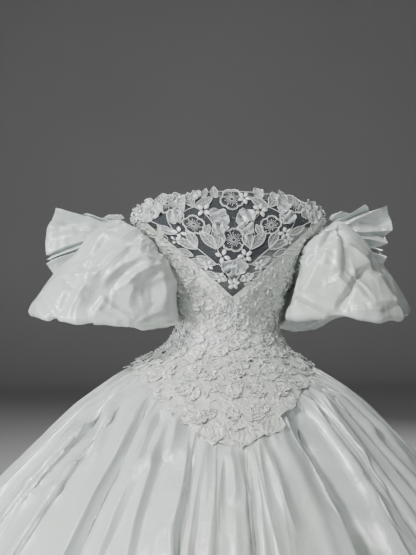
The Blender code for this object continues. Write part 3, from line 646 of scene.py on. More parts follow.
# The creases of each sleeve's front, from places given by ring and turn. A turn goes once round, from the
# front over the outside. The back has its own share of them in reverse.
SLEEVE_CREASES = {
    "right": [
        Crease((1.30, 0.130), (2.43, 0.114), (3.20, 0.104), 0.010, 0.022, 0.010),
        Crease((1.90, 0.105), (2.79, 0.100), (3.60, 0.074), 0.012, 0.010, -0.010),
        Crease((3.20, 0.086), (4.05, 0.054), (5.90, 0.070), 0.050, 0.012, 0.014),
        Crease((3.90, 0.090), (4.71, 0.081), (5.50, 0.086), 0.009, 0.014, -0.009),
        Crease((2.95, 0.128), (3.39, 0.108), (3.80, 0.094), 0.016, 0.016, 0.011),
        Crease((3.60, 0.140), (4.05, 0.090), (3.62, 0.058), 0.007, 0.010, -0.010),
        Crease((1.00, 0.020), (2.05, -0.010), (2.30, -0.060), 0.010, 0.012, 0.008),
        Crease((1.80, 0.020), (2.88, 0.039), (3.90, 0.052), 0.016, 0.005, 0.007),
        Crease((1.90, -0.070), (2.76, 0.003), (4.00, 0.022), 0.022, 0.005, 0.008),
        Crease((1.90, -0.095), (2.85, -0.039), (3.90, -0.024), 0.010, 0.018, 0.012),
        Crease((3.50, -0.020), (2.56, -0.078), (4.95, -0.104), 0.014, 0.034, 0.013),
        Crease((3.30, -0.040), (4.44, -0.042), (5.80, -0.062), 0.018, 0.012, 0.008),
        Crease((4.30, 0.215), (5.13, 0.126), (5.95, 0.094), 0.022, 0.007, -0.009),
        Crease((4.60, 0.190), (5.45, 0.140), (5.80, 0.110), 0.012, 0.012, 0.008),
        Crease((5.75, -0.055), (5.22, -0.078), (4.60, -0.115), 0.006, 0.020, 0.007),
        Crease((4.40, 0.012), (5.04, -0.030), (5.70, -0.062), 0.016, 0.007, 0.006),
        Crease((4.90, 0.020), (5.31, -0.012), (5.60, -0.042), 0.012, 0.007, 0.005),
        Crease((0.60, 0.060), (1.30, 0.066), (2.20, 0.060), 0.012, 0.012, 0.007),
        Crease((0.40, -0.060), (1.40, -0.110), (3.20, -0.150), 0.012, 0.014, 0.008),
    ],
    "left": [
        Crease((3.30, 0.112), (3.80, 0.003), (5.80, -0.062), 0.024, 0.006, -0.017),
        Crease((3.60, 0.060), (4.20, -0.008), (5.85, -0.044), 0.030, 0.010, 0.008),
        Crease((0.70, 0.200), (1.89, 0.072), (3.60, -0.018), 0.026, 0.007, -0.012),
        Crease((1.00, 0.120), (2.10, 0.048), (3.50, -0.030), 0.008, 0.030, 0.009),
        Crease((3.10, -0.028), (3.63, -0.016), (4.10, -0.006), 0.006, 0.010, 0.007),
        Crease((1.90, 0.070), (2.73, 0.084), (3.50, 0.104), 0.008, 0.014, 0.008),
        Crease((0.45, 0.160), (1.50, 0.020), (2.05, -0.110), 0.024, 0.005, -0.011),
        Crease((1.60, -0.010), (2.67, -0.072), (4.00, -0.120), 0.014, 0.024, 0.011),
        Crease((3.70, -0.160), (4.50, -0.120), (5.40, -0.150), 0.010, 0.012, 0.010),
        Crease((3.85, -0.135), (5.10, -0.096), (5.80, -0.058), 0.006, 0.022, 0.011),
        Crease((3.30, 0.112), (4.32, 0.097), (5.10, 0.098), 0.016, 0.030, 0.010),
        Crease((4.70, 0.090), (5.28, 0.108), (5.90, 0.120), 0.008, 0.014, 0.009),
        Crease((4.95, 0.010), (4.80, 0.048), (4.90, 0.100), 0.008, 0.010, 0.006),
        Crease((5.30, -0.030), (5.12, 0.012), (5.20, 0.060), 0.007, 0.009, 0.006),
        Crease((3.80, -0.070), (3.50, -0.040), (4.10, -0.018), 0.010, 0.010, 0.004),
        Crease((1.20, 0.020), (2.40, -0.036), (3.90, -0.080), 0.050, 0.040, 0.006),
    ],
}
# Near the bodice, each sleeve's lower edge is caught up and outward in front, and its back hangs lower.
LIP_LIFT = {"left": 0.021, "right": 0.003}
LIP_SHIFT = {"left": 0.036, "right": 0.0}
REAR_DROP = {"left": 0.025, "right": 0.014}
RIM_RING = 5.6
RIM_OUT = 0.008
RIM_PARTS = 6
SMALL_SLEEVE_CREASES = {
    "count": 50,
    "low": (0.8, -0.25),
    "high": (4.4, 0.75),
    "run": (1.6, 0),
    "lean": (0.2, 0.040),
    "width": 0.006,
    "out": 0.0042,
}
# The crumple over a puff, as it lies in the gown's frame, and the gathers at its two ends.
PUFF_CRUMPLES = [Crumple(0.0020, (30, 30, 14), 41, 1), Crumple(0.0009, (64, 64, 30), 43, 1)]
PUFF_SEEDS = {"left": (12, 21), "right": (15, 31)}
FACETS = {"size": 0.120, "count": 34, "seed": 46}
FACET_DEPTH = 0.0110
ROOT_GATHERS, CUFF_GATHERS = 0.012, 0.014
PUFF_SET_IN = 0.002
PUFF_PLEATS = 7
PUFF_PLEAT_DEPTH = 0.008


def sleeve_creases(side):
    """Each sleeve's creases, with the other's in reverse over its back, its lower rim and small ones."""
    back = []
    for crease in SLEEVE_CREASES["left" if side == "right" else "right"]:
        places = [(ring, 0.5 - turn) for ring, turn in crease[:3]]
        back.append(Crease(*places, crease.right, crease.left, crease.out))
    rim = []
    for i in range(RIM_PARTS):
        turns = [(i + share) / RIM_PARTS - 0.12 for share in (-0.25, 0.5, 1.25)]
        ring = RIM_RING + 0.1 * math.sin(2.3 * i)
        rim.append(Crease(*((ring, turn) for turn in turns), 0.014, 0.014, RIM_OUT))
    small = small_creases(seed=PUFF_SEEDS[side][0], **SMALL_SLEEVE_CREASES)
    creases = SLEEVE_CREASES[side] + back + rim + small
    if side == "right":
        creases = [crease._replace(left=crease.right, right=crease.left) for crease in creases]
    return creases


def sleeve_place(side, x, y, z):
    x = np.where(x > SLEEVE_ROOT, SLEEVE_ROOT + (x - SLEEVE_ROOT) * SLEEVE_REACH[side], x)
    return np.stack(np.broadcast_arrays(x if side == "left" else -x, y, z), -1)


def puff_point(side, ring, turn):
    """A sleeve's puff, from ring 0 at its root to the last inside its cuff. A turn goes once round."""
    angle = turn * 2 * math.pi
    sine, cosine = np.sin(angle), np.cos(angle)
    forward, backward = np.maximum(cosine, 0), np.maximum(-cosine, 0)

    def value(key):
        return smooth(PUFF, "ring", key, ring)

    outer_x, inner_x = value("outer_x"), value("inner_x")
    outer_z, inner_z = value("outer_z"), value("inner_z")
    reach = np.where(cosine > 0, value("front"), value("back"))
    swell = np.sin(math.pi * np.clip(ring / 7.5, 0, 1))
    fold = 1 - PUFF_PLEAT_DEPTH * swell * (0.5 + 0.5 * np.cos(PUFF_PLEATS * angle + 0.35 * ring))
    x = (outer_x + inner_x) / 2 + (outer_x - inner_x) / 2 * sine * fold - value("tucked") * cosine**2
    x = x - np.where(sine < 0, value("corner") * np.sin(2 * angle) ** 2, 0)
    groove = value("groove") * np.maximum(1 - (cosine / GROOVE_WIDTH) ** 2, 0) ** 2
    x = x - np.where(sine < 0, 0, groove)
    z = (outer_z + inner_z) / 2 + (outer_z - inner_z) / 2 * sine + value("raised") * cosine**2
    low_inside = ease((0.25 - sine) / 0.8) * ease((ring - 2.5) / 2.5)
    z = z + low_inside * (LIP_LIFT[side] * forward - REAR_DROP[side] * backward**0.7)
    x = x + LIP_SHIFT[side] * forward * ease(-sine) * np.sin(math.pi * np.clip(ring / 6, 0, 1))
    boxy = np.sign(cosine) * np.abs(cosine) ** FLATNESS
    return sleeve_place(side, x, -reach * boxy * fold, z)


def puff_relief(side, ring, turn, place, out):
    """The sleeve's creases, gathers and crumple, outward from the puff's form."""
    flat = np.zeros(ring.size)
    surface = partial(puff_point, side)
    add_creases(flat, place.reshape(-1, 3), out.reshape(-1, 3), surface, sleeve_creases(side))
    total = flat.reshape(ring.shape)
    at_root, at_cuff = np.exp(-((ring / 1.3) ** 1.5)), np.exp(-(((8 - ring) / 1.2) ** 1.5))
    around = np.stack([np.cos(turn * 2 * math.pi), np.sin(turn * 2 * math.pi), ring * 0.06], -1)
    total += (ROOT_GATHERS * at_root + CUFF_GATHERS * at_cuff) * creased(around, 7.5, seed=11, octaves=1)
    total += 0.0050 * creased(place, 8.5, seed=PUFF_SEEDS[side][1])
    total += FACET_DEPTH * (facets(place, **FACETS) - 0.4)
    for crumple in PUFF_CRUMPLES:
        total += crumpled(crumple, place)
    return total - PUFF_SET_IN


PUFF_ROWS = 150
PUFF_COLUMNS = 270
# Columns are crowded at the front by this share, and this share of the rows lies on the rings that show.
FRONT_CROWDING = 0.42
SEEN_ROWS, SEEN_RINGS = 0.86, 5.9


def build_puffs(finish):
    """The two full sleeves, gathered at both ends."""
    last = PUFF[-1].ring
    down = np.interp(np.linspace(0, 1, PUFF_ROWS + 1), [0, SEEN_ROWS, 1], [0, SEEN_RINGS, last])[:, None]
    around = np.arange(PUFF_COLUMNS)[None, :] / PUFF_COLUMNS
    around = around - FRONT_CROWDING * np.sin(2 * math.pi * around) / (2 * math.pi)
    ring, turn = np.broadcast_arrays(down, around)
    before, after = np.maximum(ring - 0.1, 0), np.minimum(ring + 0.1, last)
    for side, sign in (("left", 1), ("right", -1)):
        points = puff_point(side, ring, turn)
        across = puff_point(side, ring, turn + 0.004) - puff_point(side, ring, turn - 0.004)
        along = puff_point(side, after, turn) - puff_point(side, before, turn)
        out = unit(np.cross(along, across)) * sign
        points = points + out * puff_relief(side, ring, turn, points, out)[..., None]
        weave = np.stack([turn * TURN_LENGTH, ring * RING_PITCH], -1)
        puff = add_mesh(f"puff_{side}", points, grid_faces(*ring.shape, around=True), finish, weave)
        dress(puff, "ivory_taffeta", f"sleeve_puff_front_{side}", f"sleeve_puff_back_{side}")


# The folds of each fan, one line from its root to its outer end for each, in x and z on the sleeve's own
# side. deep is how far back the outer end lies.
FanLine = namedtuple("FanLine", "root_x root_z end_x end_z deep")
FANS = {
    "right": [
        FanLine(0.252, 0.254, 0.264, 0.262, 0.000),
        FanLine(0.258, 0.252, 0.290, 0.264, -0.012),
        FanLine(0.264, 0.250, 0.312, 0.250, 0.010),
        FanLine(0.272, 0.247, 0.342, 0.260, -0.010),
        FanLine(0.278, 0.244, 0.364, 0.252, 0.012),
        FanLine(0.286, 0.239, 0.388, 0.266, 0.004),
        FanLine(0.292, 0.234, 0.414, 0.277, -0.016),
        FanLine(0.298, 0.229, 0.428, 0.246, 0.012),
        FanLine(0.303, 0.223, 0.437, 0.224, -0.006),
        FanLine(0.310, 0.214, 0.442, 0.192, 0.000),
        FanLine(0.316, 0.207, 0.438, 0.166, -0.010),
        FanLine(0.320, 0.203, 0.424, 0.168, 0.008),
        FanLine(0.328, 0.194, 0.438, 0.152, -0.004),
        FanLine(0.332, 0.189, 0.428, 0.148, 0.014),
        FanLine(0.340, 0.182, 0.438, 0.142, -0.010),
        FanLine(0.350, 0.172, 0.418, 0.112, 0.006),
    ],
    "left": [
        FanLine(0.252, 0.254, 0.266, 0.266, 0.000),
        FanLine(0.258, 0.252, 0.286, 0.276, -0.012),
        FanLine(0.264, 0.250, 0.322, 0.266, 0.012),
        FanLine(0.270, 0.248, 0.356, 0.286, -0.014),
        FanLine(0.278, 0.244, 0.376, 0.272, 0.010),
        FanLine(0.284, 0.240, 0.398, 0.278, -0.004),
        FanLine(0.292, 0.234, 0.420, 0.290, -0.016),
        FanLine(0.298, 0.228, 0.438, 0.250, 0.004),
        FanLine(0.303, 0.223, 0.436, 0.222, -0.014),
        FanLine(0.308, 0.216, 0.422, 0.208, 0.016),
        FanLine(0.314, 0.209, 0.424, 0.196, -0.010),
        FanLine(0.318, 0.204, 0.398, 0.186, 0.018),
        FanLine(0.328, 0.194, 0.412, 0.176, -0.008),
        FanLine(0.334, 0.188, 0.404, 0.166, 0.016),
        FanLine(0.342, 0.180, 0.420, 0.158, -0.012),
        FanLine(0.350, 0.172, 0.404, 0.118, 0.008),
    ],
}
FAN_CREASES = [
    Crease((6.4, 0.98), (5.6, 0.62), (5.2, 0.10), 0.007, 0.016, 0.008),
    Crease((7.2, 1.00), (6.9, 0.66), (6.1, 0.30), 0.012, 0.008, -0.007),
    Crease((7.9, 0.98), (7.4, 0.55), (7.6, 0.12), 0.007, 0.014, 0.009),
    Crease((8.8, 1.00), (8.2, 0.70), (8.5, 0.40), 0.010, 0.006, 0.006),
    Crease((5.1, 0.90), (4.3, 0.62), (4.2, 0.20), 0.010, 0.007, -0.006),
    Crease((3.6, 0.95), (3.9, 0.55), (3.4, 0.15), 0.006, 0.010, 0.006),
    Crease((9.4, 0.95), (9.0, 0.60), (9.3, 0.15), 0.006, 0.009, 0.006),
    Crease((12.4, 0.95), (12.0, 0.55), (12.3, 0.15), 0.006, 0.009, 0.005),
    Crease((6.2, 0.82), (7.2, 0.76), (8.4, 0.84), 0.008, 0.012, -0.004),
    Crease((1.6, 0.90), (2.0, 0.50), (1.7, 0.10), 0.006, 0.008, 0.005),
]
FAN_SET_BACK = 0.004
FAN_STEPS = 12
FAN_ROWS = 40
FAN_BEND = 0.006
FAN_BULGE = 0.004
FAN_CRUMPLES = [Crumple(0.006, 16, 51, 2), Crumple(0.003, 44, 53, 2)]
FAN_SAG = 0.35


def fan_point(side, line, out):
    """A place on a fan, from its root at out 0 to its end at 1, on or between its lines."""
    lines = FANS[side]
    ends = {key: np.interp(line, np.arange(len(lines)), column(lines, key)) for key in FanLine._fields}
    x = blend(ends["root_x"], ends["end_x"], out)
    z = blend(ends["root_z"], ends["end_z"], out)
    bulge = FAN_BULGE * np.sin(math.pi * (line % 1.0)) * np.cos(math.pi * np.floor(line))
    y = ends["deep"] * (0.30 + 0.85 * out**0.8) + bulge * out + FAN_SET_BACK
    return sleeve_place(side, x, y, z)


def build_fans(finish):
    """The pleated fan behind each sleeve."""
    for side in ("left", "right"):
        count = len(FANS[side]) - 1
        line = np.linspace(0, count, count * FAN_STEPS + 1)[None, :]
        out = np.linspace(0, 1, FAN_ROWS + 1)[:, None]
        line, out = np.broadcast_arrays(line, out)
        points = fan_point(side, line, out)
        forward = np.broadcast_to(np.array([0, -1.0, 0]), points.shape)
        relief = np.zeros(line.size)
        creases = FAN_CREASES
        if side == "right":
            creases = [crease._replace(left=crease.right, right=crease.left) for crease in creases]
        surface = partial(fan_point, side)
        add_creases(relief, points.reshape(-1, 3), forward.reshape(-1, 3), surface, creases)
        relief = relief.reshape(line.shape) + sum(crumpled(crumple, points) for crumple in FAN_CRUMPLES) * out
        points[..., 1] -= relief
        points[..., 2] += FAN_BEND * np.sin(out * 3.4 + line * 1.3) * out * (1 - 0.5 * out) + FAN_SAG * relief
        weave = np.stack([line * 0.03, out * 0.17], -1)
        fan = add_mesh(f"fan_{side}", points, grid_faces(*line.shape), finish, weave)
        dress(fan, "ivory_taffeta", f"sleeve_fan_{side}")


# ------------------------------------------------------------------ bodice

PRINCESS_SEAM = 22.0
ROSETTE_SPACING = 0.046
ROSETTE_RADIUS = 0.026
ROSETTE_HEIGHT = 2.4 * MM
LACE_THICKNESS = 1.2 * MM
LACE_CRUMPLE = Crumple(0.0044, 38, 61, 1)
LACE_STITCHES = Crumple(0.0008, 120, 71, 1)
LACE_OVERHANG = 0.010
# Degrees from the centre front at which the rosettes end beside the buttons, and over which they fade.
ROSETTES_END = 168
ROSETTES_FADE = 10


def beside_armhole(azimuth):
    """How far off the middle of the armhole an azimuth lies, as a share of half its width."""
    return np.abs(half_turn(azimuth) - 90) / (90 - ARMHOLE_FRONT)


def armhole_low(azimuth):
    return UNDERARM + 0.062 * beside_armhole(azimuth) ** 2.2


def armhole_top(azimuth):
    return SHOULDER_BAND_LOW - 0.010 * beside_armhole(azimuth) ** 2


def lace_hem(azimuth):
    """The lace's lower edge: scalloped, and a little below the seam that it hides."""
    scallop = np.abs(np.sin(np.radians(azimuth) * 9.5))
    return basque_edge(azimuth) - LACE_OVERHANG * (0.4 + 0.6 * scallop)


def chance_of(row, place):
    """A repeatable fraction for each rosette, from its row and its place in it."""
    return np.sin(row * 12.9898 + place * 78.233) * 43758.5453 % 1.0


def lace_relief(azimuth, height):
    """Raised five-petalled rosettes, with crumpled lace over and between them."""
    turned = (azimuth + 180) % 360 - 180
    around = np.radians(turned) * 0.13
    row = np.round(height / ROSETTE_SPACING)
    best = np.zeros(np.broadcast(azimuth, height).shape)
    for r in (row - 1, row, row + 1):
        shift = 0.5 * (r % 2) * ROSETTE_SPACING
        place = np.round((around - shift) / ROSETTE_SPACING)
        dx, dz = around - place * ROSETTE_SPACING - shift, height - r * ROSETTE_SPACING
        petals = 0.75 + 0.25 * np.cos(5 * np.arctan2(dz, dx) + 2 * math.pi * chance_of(r, place))
        best = np.maximum(best, 1 - np.hypot(dx, dz) / (ROSETTE_RADIUS * petals))
    to_top = (neck_v(azimuth) - height) / 0.03
    to_back = (ROSETTES_END - half_turn(azimuth)) / ROSETTES_FADE
    raised = ROSETTE_HEIGHT * ease(best * 1.6) * ease(to_top) * ease(to_back)
    place = on_envelope(azimuth, height)
    crumple = crumpled(LACE_CRUMPLE, place) + crumpled(LACE_STITCHES, place)
    return raised + LACE_THICKNESS + crumple * (0.5 + 0.5 * ease(to_top * 0.8))


# The lace's panels: where each starts and ends, its columns and rows, its two edges and its flat size.
Panel = namedtuple("Panel", "name node start end columns rows low high flat")
FRONT_PANEL = Panel("front", "bodice", -PRINCESS_SEAM, PRINCESS_SEAM, 60, 150, lace_hem, neck_v, (0.16, 0.34))
SIDE_PANELS = [
    Panel("side", "bodice", PRINCESS_SEAM, ARMHOLE_FRONT, 48, 150, lace_hem, neck_v, (0.15, 0.40)),
    Panel("underarm", "bodice", ARMHOLE_FRONT, ARMHOLE_BACK, 56, 90, lace_hem, armhole_low, (0.14, 0.26)),
    Panel("back", "bodice", ARMHOLE_BACK, 180, 60, 112, lace_hem, neck_v, (0.17, 0.34)),
    Panel("band", "shoulder", ARMHOLE_FRONT - 1, ARMHOLE_BACK + 1, 60, 24, armhole_top, neck_v, (0.16, 0.03)),
]


def lace_panel(panel, finish, side=None):
    across = np.linspace(panel.start, panel.end, panel.columns)
    azimuth = np.sort(-across if side == "right" else across)
    azimuth = np.broadcast_to(azimuth, (panel.rows + 1, panel.columns))
    height = blend(panel.low(azimuth), panel.high(azimuth), np.linspace(0, 1, panel.rows + 1)[:, None])
    points = lifted(azimuth, height, lace_relief(azimuth, height))
    name = f"{panel.name}_{side}" if side else panel.name
    lace = add_mesh(f"lace_{name}", points, grid_faces(*azimuth.shape), finish)
    dress(lace, "ivory_lace", f"{panel.node}_{name}")


def build_bodice(finish):
    """Lace from the basque seam up to the neckline, and the bands between the armholes and the neck."""
    lace_panel(FRONT_PANEL, finish)
    for side in ("left", "right"):
        for panel in SIDE_PANELS:
            lace_panel(panel, finish, side)


# ------------------------------------------------------------------ lace motifs


class Spot:
    """A place on the gown where a motif is sewn, with flat axes: across, and along in the way it points.

    under gives how far out the cloth beneath the motif lies.
    """

    def __init__(self, azimuth, height, heading, lift=0.0, under=None):
        self.azimuth, self.height, self.lift, self.under = azimuth, height, lift, under
        self.turn_to(heading)
        a, h = np.array(float(azimuth)), np.array(float(height))
        around = np.linalg.norm(on_envelope(a + 1, h) - on_envelope(a - 1, h)) / 2
        up = np.linalg.norm(on_envelope(a, h + 0.004) - on_envelope(a, h - 0.004)) / 0.008
        self.per_m = 1 / around, 1 / up

    def turn_to(self, heading):
        self.cos, self.sin = math.cos(math.radians(heading)), math.sin(math.radians(heading))
        return self

    def at(self, across, along, lift=0.0):
        dx = across * self.cos + along * self.sin
        dz = along * self.cos - across * self.sin
        azimuth = self.azimuth + dx * self.per_m[0]
        height = self.height + dz * self.per_m[1]
        out = self.lift + lift + 0 * azimuth
        if self.under:
            out = out + self.under(azimuth, height)
        return lifted(azimuth, height, out)


# A petal's or a leaf's outline. widest says how far out its widest place is: more than 1 is nearer the tip.
# blunt is below 1 for a rounded end and above 1 for a pointed one. scallop is how deep its edge is notched,
# as a share.
Form = namedtuple("Form", "widest blunt scallop")
ROUND = Form(1.7, 0.50, 0.07)
BROAD = Form(1.35, 0.55, 0.08)
POINTED = Form(1.0, 1.05, 0.0)

# How a petal or a leaf lies: how far its tip rises, its sides cup and its edge ruffles, how thick the cord
# on that edge is, how far one side is tilted up, how deep its long folds are, and its rows and columns.
Look = namedtuple("Look", "form rise cup ruffle cord tilt ribs grid", defaults=[0.0, 0.0, (11, 7)])
FLOWER_PETAL = Look(ROUND, 0.0018, 0.0013, 0.0020, 0.0011, 0.0014)
LOOSE_PETAL = Look(BROAD, 0.0040, 0.0020, 0.0022, 0.0010)
LACE_LEAF = Look(POINTED, 0.0014, 0.0010, 0.0008, 0.0011)
NECK_LEAF = Look(POINTED, 0.0012, 0.0016, 0.0014, 0.0007, 0.0, 0.0008)
BASQUE_PETAL = Look(BROAD, 0.0005, 0.0020, 0.0016, 0.0009, 0.0, 0.0032, (22, 19))
YOKE_LEAF = Look(POINTED, 0.0015, 0.0012, 0.0, 0.0011)
YOKE_PETAL = Look(BROAD, 0.0030, 0.0030, 0.0036, 0.0011, grid=(22, 9))
EDGE_LEAF = Look(POINTED, 0.0020, 0.0010, 0.0004, 0.0008)
EDGE_PETAL = Look(BROAD, 0.0040, 0.0030, 0.0024, 0.0009, grid=(18, 9))
LEAST_HALF_WIDTH = 0.0003
EDGE_NOTCHES = 15
VEINS = 4
VEIN_CORD = 0.0006
STAMENS = 18


def half_width(form, width, t):
    whole = np.sin(math.pi * np.clip(0.04 + 0.96 * t**form.widest, 0, 1)) ** form.blunt
    notch = 1 - form.scallop * np.abs(np.cos(t * EDGE_NOTCHES)) * ease(t * 2)
    return np.maximum(width / 2 * whole * notch, LEAST_HALF_WIDTH)


def bow_of(width, t, phase):
    """How far a petal or a leaf bends aside on the way to its tip."""
    return 0.10 * width * np.sin(phase * 1.7) * np.sin(math.pi * t)


def sew_cord(cords, spot, across, along, lift, radius, sides=3):
    """A cord laid through places that are given across and along a spot."""
    cords.add(cord_through(spot.at(across, along, lift), radius, sides), around=True)


def sew_ring(cords, spot, radius, count, lift, cord, sides=3):
    a = np.linspace(0, 2 * math.pi, count)
    sew_cord(cords, spot, radius * np.sin(a), radius * np.cos(a), lift, cord, sides)


def add_petal(fills, cords, spot, length, width, look, phase=0.0):
    """A petal or a leaf: a cupped fill with a corded edge."""
    form = look.form
    t = np.linspace(0, 1, look.grid[0])
    t = np.broadcast_to((t + 0.3 * t * (1 - t))[:, None], look.grid)
    share = np.linspace(-1, 1, look.grid[1])[None, :]
    half = half_width(form, width, t)
    lift = look.rise * t**1.5 + look.tilt * share * t
    lift = lift + look.cup * share**2 * np.sin(math.pi * np.clip(t + 0.1, 0, 1))
    ruffle = np.sin(t * 15 + phase + share * 1.6) * (0.5 + np.abs(share)) * ease(t * 3)
    fold = np.abs(np.sin(8.5 * share + phase + 1.2 * np.sin(4 * t + phase)))
    lift = lift + look.ruffle * ruffle
    lift = lift + look.ribs * (0.64 - fold) * np.sin(math.pi * np.clip(t * 0.9 + 0.08, 0, 1))
    across = half * share + bow_of(width, t, phase)
    along = t * length * (1 - form.scallop * share**2 - 0.5 * form.scallop * (fold < 0.25))
    fills.add(spot.at(across, along, lift))
    rim = [np.concatenate([grid[:-1, 0], grid[::-1, -1]]) for grid in (across, along, lift)]
    sew_cord(cords, spot, rim[0], rim[1], rim[2] + look.cord * 0.7, look.cord)


def add_veined_leaf(leaves, cords, spot, length, width, look, phase):
    """A leaf with its midrib and its side veins in cord."""
    add_petal(leaves, cords, spot, length, width, look, phase)
    t = np.linspace(0.02, 0.93, 7)
    sew_cord(cords, spot, bow_of(width, t, phase), t * length, look.rise * t**1.5 + VEIN_CORD, VEIN_CORD)
    for i in range(VEINS):
        for sign in (-1, 1):
            out = np.linspace(0, 0.80, 4)
            v = (i + 0.7) / (VEINS + 1.2) + 0.17 * out
            across = bow_of(width, v, phase) + sign * out * half_width(look.form, width, v)
            lift = look.rise * v**1.5 + 0.001 * out**2 + VEIN_CORD * 0.6
            sew_cord(cords, spot, across, v * length, lift, VEIN_CORD * 0.6)


def add_blossom(beads, spot, size, petals, turn, height=0.30):
    """A small raised blossom of separate oval petals."""
    theta = np.arange(8) * math.pi / 4
    for i in range(petals):
        a = 2 * math.pi * i / petals + turn
        rings = []
        for t in np.linspace(0.02, 0.98, 7):
            radius = 0.27 * size * math.sin(math.pi * t) ** 0.6
            centre = (0.16 + 0.84 * t) * size
            u = centre * math.sin(a) + radius * np.cos(theta) * math.cos(a)
            v = centre * math.cos(a) - radius * np.cos(theta) * math.sin(a)
            rings.append(spot.at(u, v, 0.0008 + height * radius * (1 + np.sin(theta))))
        beads.add(np.array(rings), around=True)


def add_bead(beads, spot, across, along, radius):
    """A small bead that stands on the cloth."""
    theta = np.arange(6) * math.pi / 3
    rings = []
    for t in np.linspace(0.05, 0.95, 4):
        r = radius * math.sin(math.pi * t)
        rings.append(spot.at(across + r * np.cos(theta), along + r * np.sin(theta), 0.0006 + 0.002 * t))
    beads.add(np.array(rings), around=True)


def add_stamen_flower(cords, beads, spot, size, turn):
    """A sheer flower: five lobes with a scalloped corded edge, a ring, and beaded stamens."""
    a = np.linspace(0, 2 * math.pi, 71)
    lobes = 0.78 + 0.22 * np.abs(np.cos(2.5 * (a + turn))) ** 0.5
    edge = size * lobes * (1 + 0.025 * np.cos(20 * (a + turn)))
    sew_cord(cords, spot, edge * np.sin(a), edge * np.cos(a), 0.0012, 0.0011, 4)
    inner = edge * 0.90
    sew_cord(cords, spot, inner * np.sin(a), inner * np.cos(a), 0.0010, 0.0005)
    sew_ring(cords, spot, 0.16 * size, 17, 0.0014, 0.0007)
    for i in range(5):
        c = 2 * math.pi * (i + 0.5) / 5 - turn
        fold = np.linspace(0.55, 0.80, 4) * size
        sew_cord(cords, spot, fold * math.sin(c), fold * math.cos(c), 0.0012, 0.0006)
    for i in range(STAMENS):
        c = 2 * math.pi * i / STAMENS + turn
        reach = np.linspace(0.20, 0.46 + 0.12 * (i % 2), 3) * size
        sew_cord(cords, spot, reach * math.sin(c), reach * math.cos(c), 0.0012, 0.0005)
        add_bead(beads, spot, reach[-1] * math.sin(c), reach[-1] * math.cos(c), 0.0012)


def add_stem(cords, places, radius=0.0008):
    """A corded stem through places, each an azimuth and a height, on a smooth curve."""
    places = np.asarray(places, float)
    t = np.linspace(0, len(places) - 1, 6 * (len(places) - 1) + 1)
    low = np.clip(t.astype(int), 0, len(places) - 2)
    f = (t - low)[:, None]
    before, after = places[np.maximum(low - 1, 0)], places[np.minimum(low + 2, len(places) - 1)]
    a, b = places[low], places[low + 1]
    square, cube = 2 * before - 5 * a + 4 * b - after, 3 * a - before - 3 * b + after
    curve = 0.5 * (2 * a + (b - before) * f + square * f**2 + cube * f**3)
    cords.add(cord_through(lifted(curve[:, 0], curve[:, 1], 0.0012), radius), around=True)


# How the bodice's lace is made up: rows of flowers with leaves and curled cords between, and their spacing.
FLOWER_PITCH = 0.039
FLOWER_SPACING = 0.050
FLOWER_SIZES = 0.018, 0.031
LEAF_SIZES = 0.020, 0.038
LEAVES_PER_FLOWER = 3
# Fewer curls lie low on the lace, near the basque seam, and more from a little above it.
LOW_CURLS, CURLS = 4, 7
CURLS_CHANGE_AT, CURLS_CHANGE_OVER = -0.14, 0.08
LACE_LIFT = 0.0007
# How far below the neckline a flower, and a leaf or a curl, begins.
FLOWER_MARGIN = 0.036
LEAF_MARGINS = 0.014, 0.021, 0.021
# How far above the basque seam each begins: a flower, most leaves, and one leaf in three, which hangs below
# it.
FLOWER_ABOVE_SEAM = 0.012
LEAF_ABOVE_SEAM = -0.010, 0.004, 0.004
NO_LACE_BACK = 176


def add_flower(fills, cords, spot, size, petals, turn):
    """A flower of overlapping round petals round a corded eye."""
    for i in range(petals):
        spot.turn_to(turn + 360 * (i + 0.18 * math.sin(3 * i + turn)) / petals)
        length = size * (0.88 + 0.24 * (math.sin(5 * i + 2 * turn) * 0.5 + 0.5))
        add_petal(fills, cords, spot, length, length * 0.98, FLOWER_PETAL, turn + i)
    sew_ring(cords, spot, 0.17 * size, 11, 0.0020, 0.0011)


def add_curl(cords, spot, length, bend):
    """A loose end of cord that curls."""
    t = np.linspace(0, 1, 10)
    angle = bend * t**1.4
    across = np.concatenate([[0], np.cumsum(np.sin(angle[1:]))]) * length / 9
    along = np.concatenate([[0], np.cumsum(np.cos(angle[1:]))]) * length / 9
    sew_cord(cords, spot, across, along, 0.0014 + 0.0014 * t, 0.0011 + 0.0004 * np.sin(t * 7))


def on_lace(azimuth, height, below_top, above_seam):
    """Says whether a place lies on the lace, at least that far below its top and above the basque seam."""
    a = half_turn(azimuth)
    if a > NO_LACE_BACK or height < basque_edge(azimuth) + above_seam:
        return False
    if ARMHOLE_FRONT - 2 < a < ARMHOLE_BACK + 2:
        on_band = armhole_top(azimuth) + 0.006 < height < neck_v(azimuth) - 0.006
        return bool(on_band or height < armhole_low(azimuth) - below_top - 0.004)
    return bool(height < neck_v(azimuth) - below_top)


def over_petals(azimuth, height):
    """How much further out the lace lies where it covers the roots of the large petals."""
    return float(0.0032 * ease(1 - (height - basque_edge(azimuth)) / 0.045))


NECK_LEAVES_END = 64.0
NECK_LEAF_PITCH = 0.024


